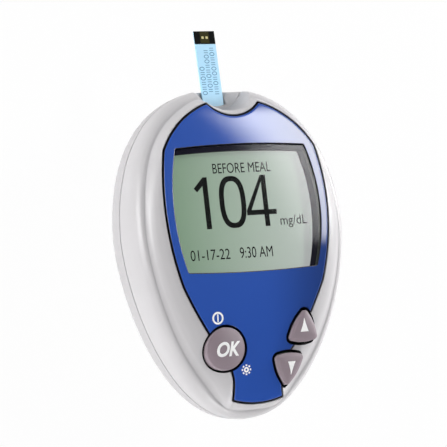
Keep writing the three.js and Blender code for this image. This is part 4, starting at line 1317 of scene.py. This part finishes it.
DOOR_ROUND = 0.3
THUMB_RADIUS = 6.0
THUMB_HOLLOW = ((-3.5, -10.13, -5.1), (3.5, -10.13, -5.1))
HOOK_SHIFT = 3.5
HOOK_HALF_WIDTH = 1.5
HOOK_BLOCKS = [((12.4, 13.6), (1.6, 3.0)), ((13.5, 15.17), (2.2, 3.0))]
LABEL_LOW, LABEL_HIGH = 0.15, 0.35


def battery_cover():
    def edge(m):
        return rounded_rectangle(DOOR_WIDTH - 2 * m, DOOR_LENGTH - 2 * m, DOOR_CORNER - m, DOOR_Y)

    rings = [lift(edge(DOOR_ROUND), DOOR_LOW)]
    for angle in np.linspace(0, math.pi / 2, 6)[1:]:
        margin = DOOR_ROUND * (1 - math.sin(angle))
        rings.append(lift(edge(margin), DOOR_LOW + DOOR_ROUND * (1 - math.cos(angle))))
    rings.append(lift(edge(0), DOOR_HIGH))
    return loft("battery_cover", rings, grained_white_abs, angle=SHELL_ANGLE)


cover = battery_cover()
carve(cover, [rod("cutter", THUMB_RADIUS, *THUMB_HOLLOW)])
for x in (-HOOK_SHIFT, HOOK_SHIFT):
    for (y0, y1), (z0, z1) in HOOK_BLOCKS:
        rings = box_rings((x - HOOK_HALF_WIDTH, y0, z0), (x + HOOK_HALF_WIDTH, y1, z1))
        join(cover, loft("hook", rings))
dress(cover, grained_white_abs, SHELL_ANGLE)
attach(cover, "door")
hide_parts("battery_door")

label_path = rounded_rectangle(LABEL_WIDTH, LABEL_HEIGHT, LABEL_CORNER, LABEL_Y)
back_label = loft("back_label", [lift(label_path, z) for z in (LABEL_LOW, LABEL_HIGH)], matte_label)
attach(back_label, "meter")
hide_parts("rear_label")

SCREW_HEAD = [
    (0, 1.9), (0.95, 1.9), (0.95, 1.7), (1.7, 1.7), (1.95, 1.85), (2.0, 2.1), (2.0, 3.0), (0, 3.0)]
for number, (x, y) in enumerate(sorted(SCREWS, key=lambda s: (-s[1], s[0])), 1):
    head = turned(f"screw_head_{number}", SCREW_HEAD, x, y, zinc_steel)
    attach(head, "meter")


# Pieces that keep the shape of the frame

FINISHES = [
    (frosted_acrylic, ["backlight_guide"]),
    (clear_resin, ["backlight_led_left", "backlight_led_right"]),
    (dark_rubber_and_shade, ["lcd_connector", "keypad_membrane"]),
    (solder_mask, ["circuit_board"]),
    (epoxy_black, ["processor_chip"]),
    (spring_steel, ["ok_dome", "up_dome", "down_dome"]),
    (spring_steel, ["negative_contact_left", "negative_contact_right"]),
    (spring_steel, ["positive_contact_left", "positive_contact_right"]),
    (black_polymer, ["strip_port", "data_jack"]),
    (gold_plate, ["strip_contact_left", "strip_contact_middle", "strip_contact_right"]),
    (grey_polymer, ["battery_tray"]),
    (nickel_steel, ["battery_cell_left", "battery_cell_right"]),
    (zinc_steel, ["case_screw_1", "case_screw_2", "case_screw_3", "case_screw_4"]),
]
FRAME_ANGLE = 35
for material, names in FINISHES:
    for name in names:
        dress(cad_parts[name], material, FRAME_ANGLE)


# Floor, world and lamps

FLOOR_REACH = 700
FLOOR_HEIGHT = -25  # leaves room for the open battery cover under the casing
FLOOR_WHITE_SHARE = 0.96  # the rest is lit paper, which keeps the shadow
WHITE = (1, 1, 1, 1)


def bare_material(name):
    """A material with an empty node tree, and that tree."""
    material = bpy.data.materials.new(name)
    material.use_nodes = True
    material.node_tree.nodes.clear()
    return material, material.node_tree


def seen_by(tree, first, *others):
    """1 for rays of the named kinds, and 0 for all others."""
    rays = node(tree, "ShaderNodeLightPath").outputs
    seen = rays[first]
    for kind in others:
        seen = node(tree, "ShaderNodeMath", [(0, seen), (1, rays[kind])], operation="MAXIMUM").outputs[0]
    return seen


FACES_UP = (0, 1, 2, 3)
FACES_DOWN = (3, 2, 1, 0)


def flat_sheet(name, half_width, half_length, height, corners):
    """A rectangle in millimetres that faces up or down, by the order of its corners."""
    ends = ((-1, -1), (1, -1), (1, 1), (-1, 1))
    mesh = bpy.data.meshes.new(name)
    points = [Vector((x * half_width, y * half_length, height)) * MM for x, y in ends]
    mesh.from_pydata(points, [], [corners])
    return add_object(name, mesh)


def floor_sheet():
    """A pale sheet of paper that is seen from above only, so that the back can be looked at too."""
    floor = flat_sheet("pale_floor", FLOOR_REACH, FLOOR_REACH, FLOOR_HEIGHT, FACES_UP)
    material, tree = bare_material("pale_paper")
    seen = seen_by(tree, "Is Camera Ray", "Is Glossy Ray", "Is Transmission Ray")
    white = node(tree, "ShaderNodeEmission", Color=WHITE, Strength=1.0)
    paper = node(tree, "ShaderNodeBsdfDiffuse", Color=linear("#f4f4f4"))
    whitened = node(tree, "ShaderNodeMixShader", [(1, paper.outputs[0]), (2, white.outputs[0])],
                    [(0, FLOOR_WHITE_SHARE)])
    top = node(tree, "ShaderNodeMixShader", [(0, seen), (1, paper.outputs[0]), (2, whitened.outputs[0])])
    side = node(tree, "ShaderNodeNewGeometry")
    clear = node(tree, "ShaderNodeBsdfTransparent", Color=WHITE)
    both = node(tree, "ShaderNodeMixShader",
                [(0, side.outputs["Backfacing"]), (1, top.outputs[0]), (2, clear.outputs[0])])
    node(tree, "ShaderNodeOutputMaterial", [("Surface", both.outputs[0])])
    floor.data.materials.append(material)
    return floor


floor_sheet()

# The world: white where it is looked at, and a pale tent that is darker overhead where it lights the meter
world = bpy.data.worlds.new("studio")
bpy.context.scene.world = world
world.use_nodes = True
tree = world.node_tree
tree.nodes.clear()
way = node(tree, "ShaderNodeTexCoord")
parts = node(tree, "ShaderNodeSeparateXYZ", [("Vector", way.outputs["Generated"])])
level = node(tree, "ShaderNodeMapRange", [("Value", parts.outputs["Z"])],
             interpolation_type="SMOOTHSTEP", from_min=0.05, from_max=0.6, to_min=0.8, to_max=0.15)
tent = node(tree, "ShaderNodeBackground", [("Strength", level.outputs["Result"])], Color=WHITE)
white = node(tree, "ShaderNodeBackground", Color=WHITE, Strength=1.0)
seen = seen_by(tree, "Is Camera Ray", "Is Transmission Ray")
mix = node(tree, "ShaderNodeMixShader", [(0, seen), (1, tent.outputs[0]), (2, white.outputs[0])])
node(tree, "ShaderNodeOutputWorld", [("Surface", mix.outputs[0])])


def softbox(name, middle, width, length, radiance, feather, aim=None):
    """A lamp in the form of a lit sheet, level or aimed at a place, whose light fades towards its edges."""
    lamp = flat_sheet(name, width / 2, length / 2, 0, FACES_DOWN)
    lamp.location = Vector(middle) * MM
    if aim:
        lamp.rotation_euler = (Vector(middle) - Vector(aim)).to_track_quat("Z", "Y").to_euler()
    lamp.visible_camera = False
    lamp.visible_shadow = False
    material, tree = bare_material(name)
    place = node(tree, "ShaderNodeTexCoord")
    parts = node(tree, "ShaderNodeSeparateXYZ", [("Vector", place.outputs["Object"])])
    fades = []
    for axis, half in (("X", width / 2), ("Y", length / 2)):
        away = node(tree, "ShaderNodeMath", [(0, parts.outputs[axis])], operation="ABSOLUTE")
        fades.append(node(tree, "ShaderNodeMapRange", [("Value", away.outputs[0])],
                          interpolation_type="SMOOTHSTEP", from_min=(half - feather) * MM,
                          from_max=half * MM, to_min=1.0, to_max=0.0))
    both = node(tree, "ShaderNodeMath", [(0, fades[0].outputs[0]), (1, fades[1].outputs[0])],
                operation="MULTIPLY")
    strength = node(tree, "ShaderNodeMath", [(0, both.outputs[0])], [(1, radiance)], operation="MULTIPLY")
    light = node(tree, "ShaderNodeEmission", [("Strength", strength.outputs[0])], Color=WHITE)
    node(tree, "ShaderNodeOutputMaterial", [("Surface", light.outputs[0])])
    lamp.data.materials.append(material)


METER = (0, -7.3, 12)
softbox("top_softbox", (528, 250, 760), 220, 420, 16.5, 42)
softbox("left_softbox", (-850, 150, 190), 560, 380, 15.5, 100, METER)
softbox("right_softbox", (820, 260, 180), 560, 360, 20.0, 100, METER)
softbox("low_softbox", (-40, -870, 110), 560, 190, 23.0, 70, METER)
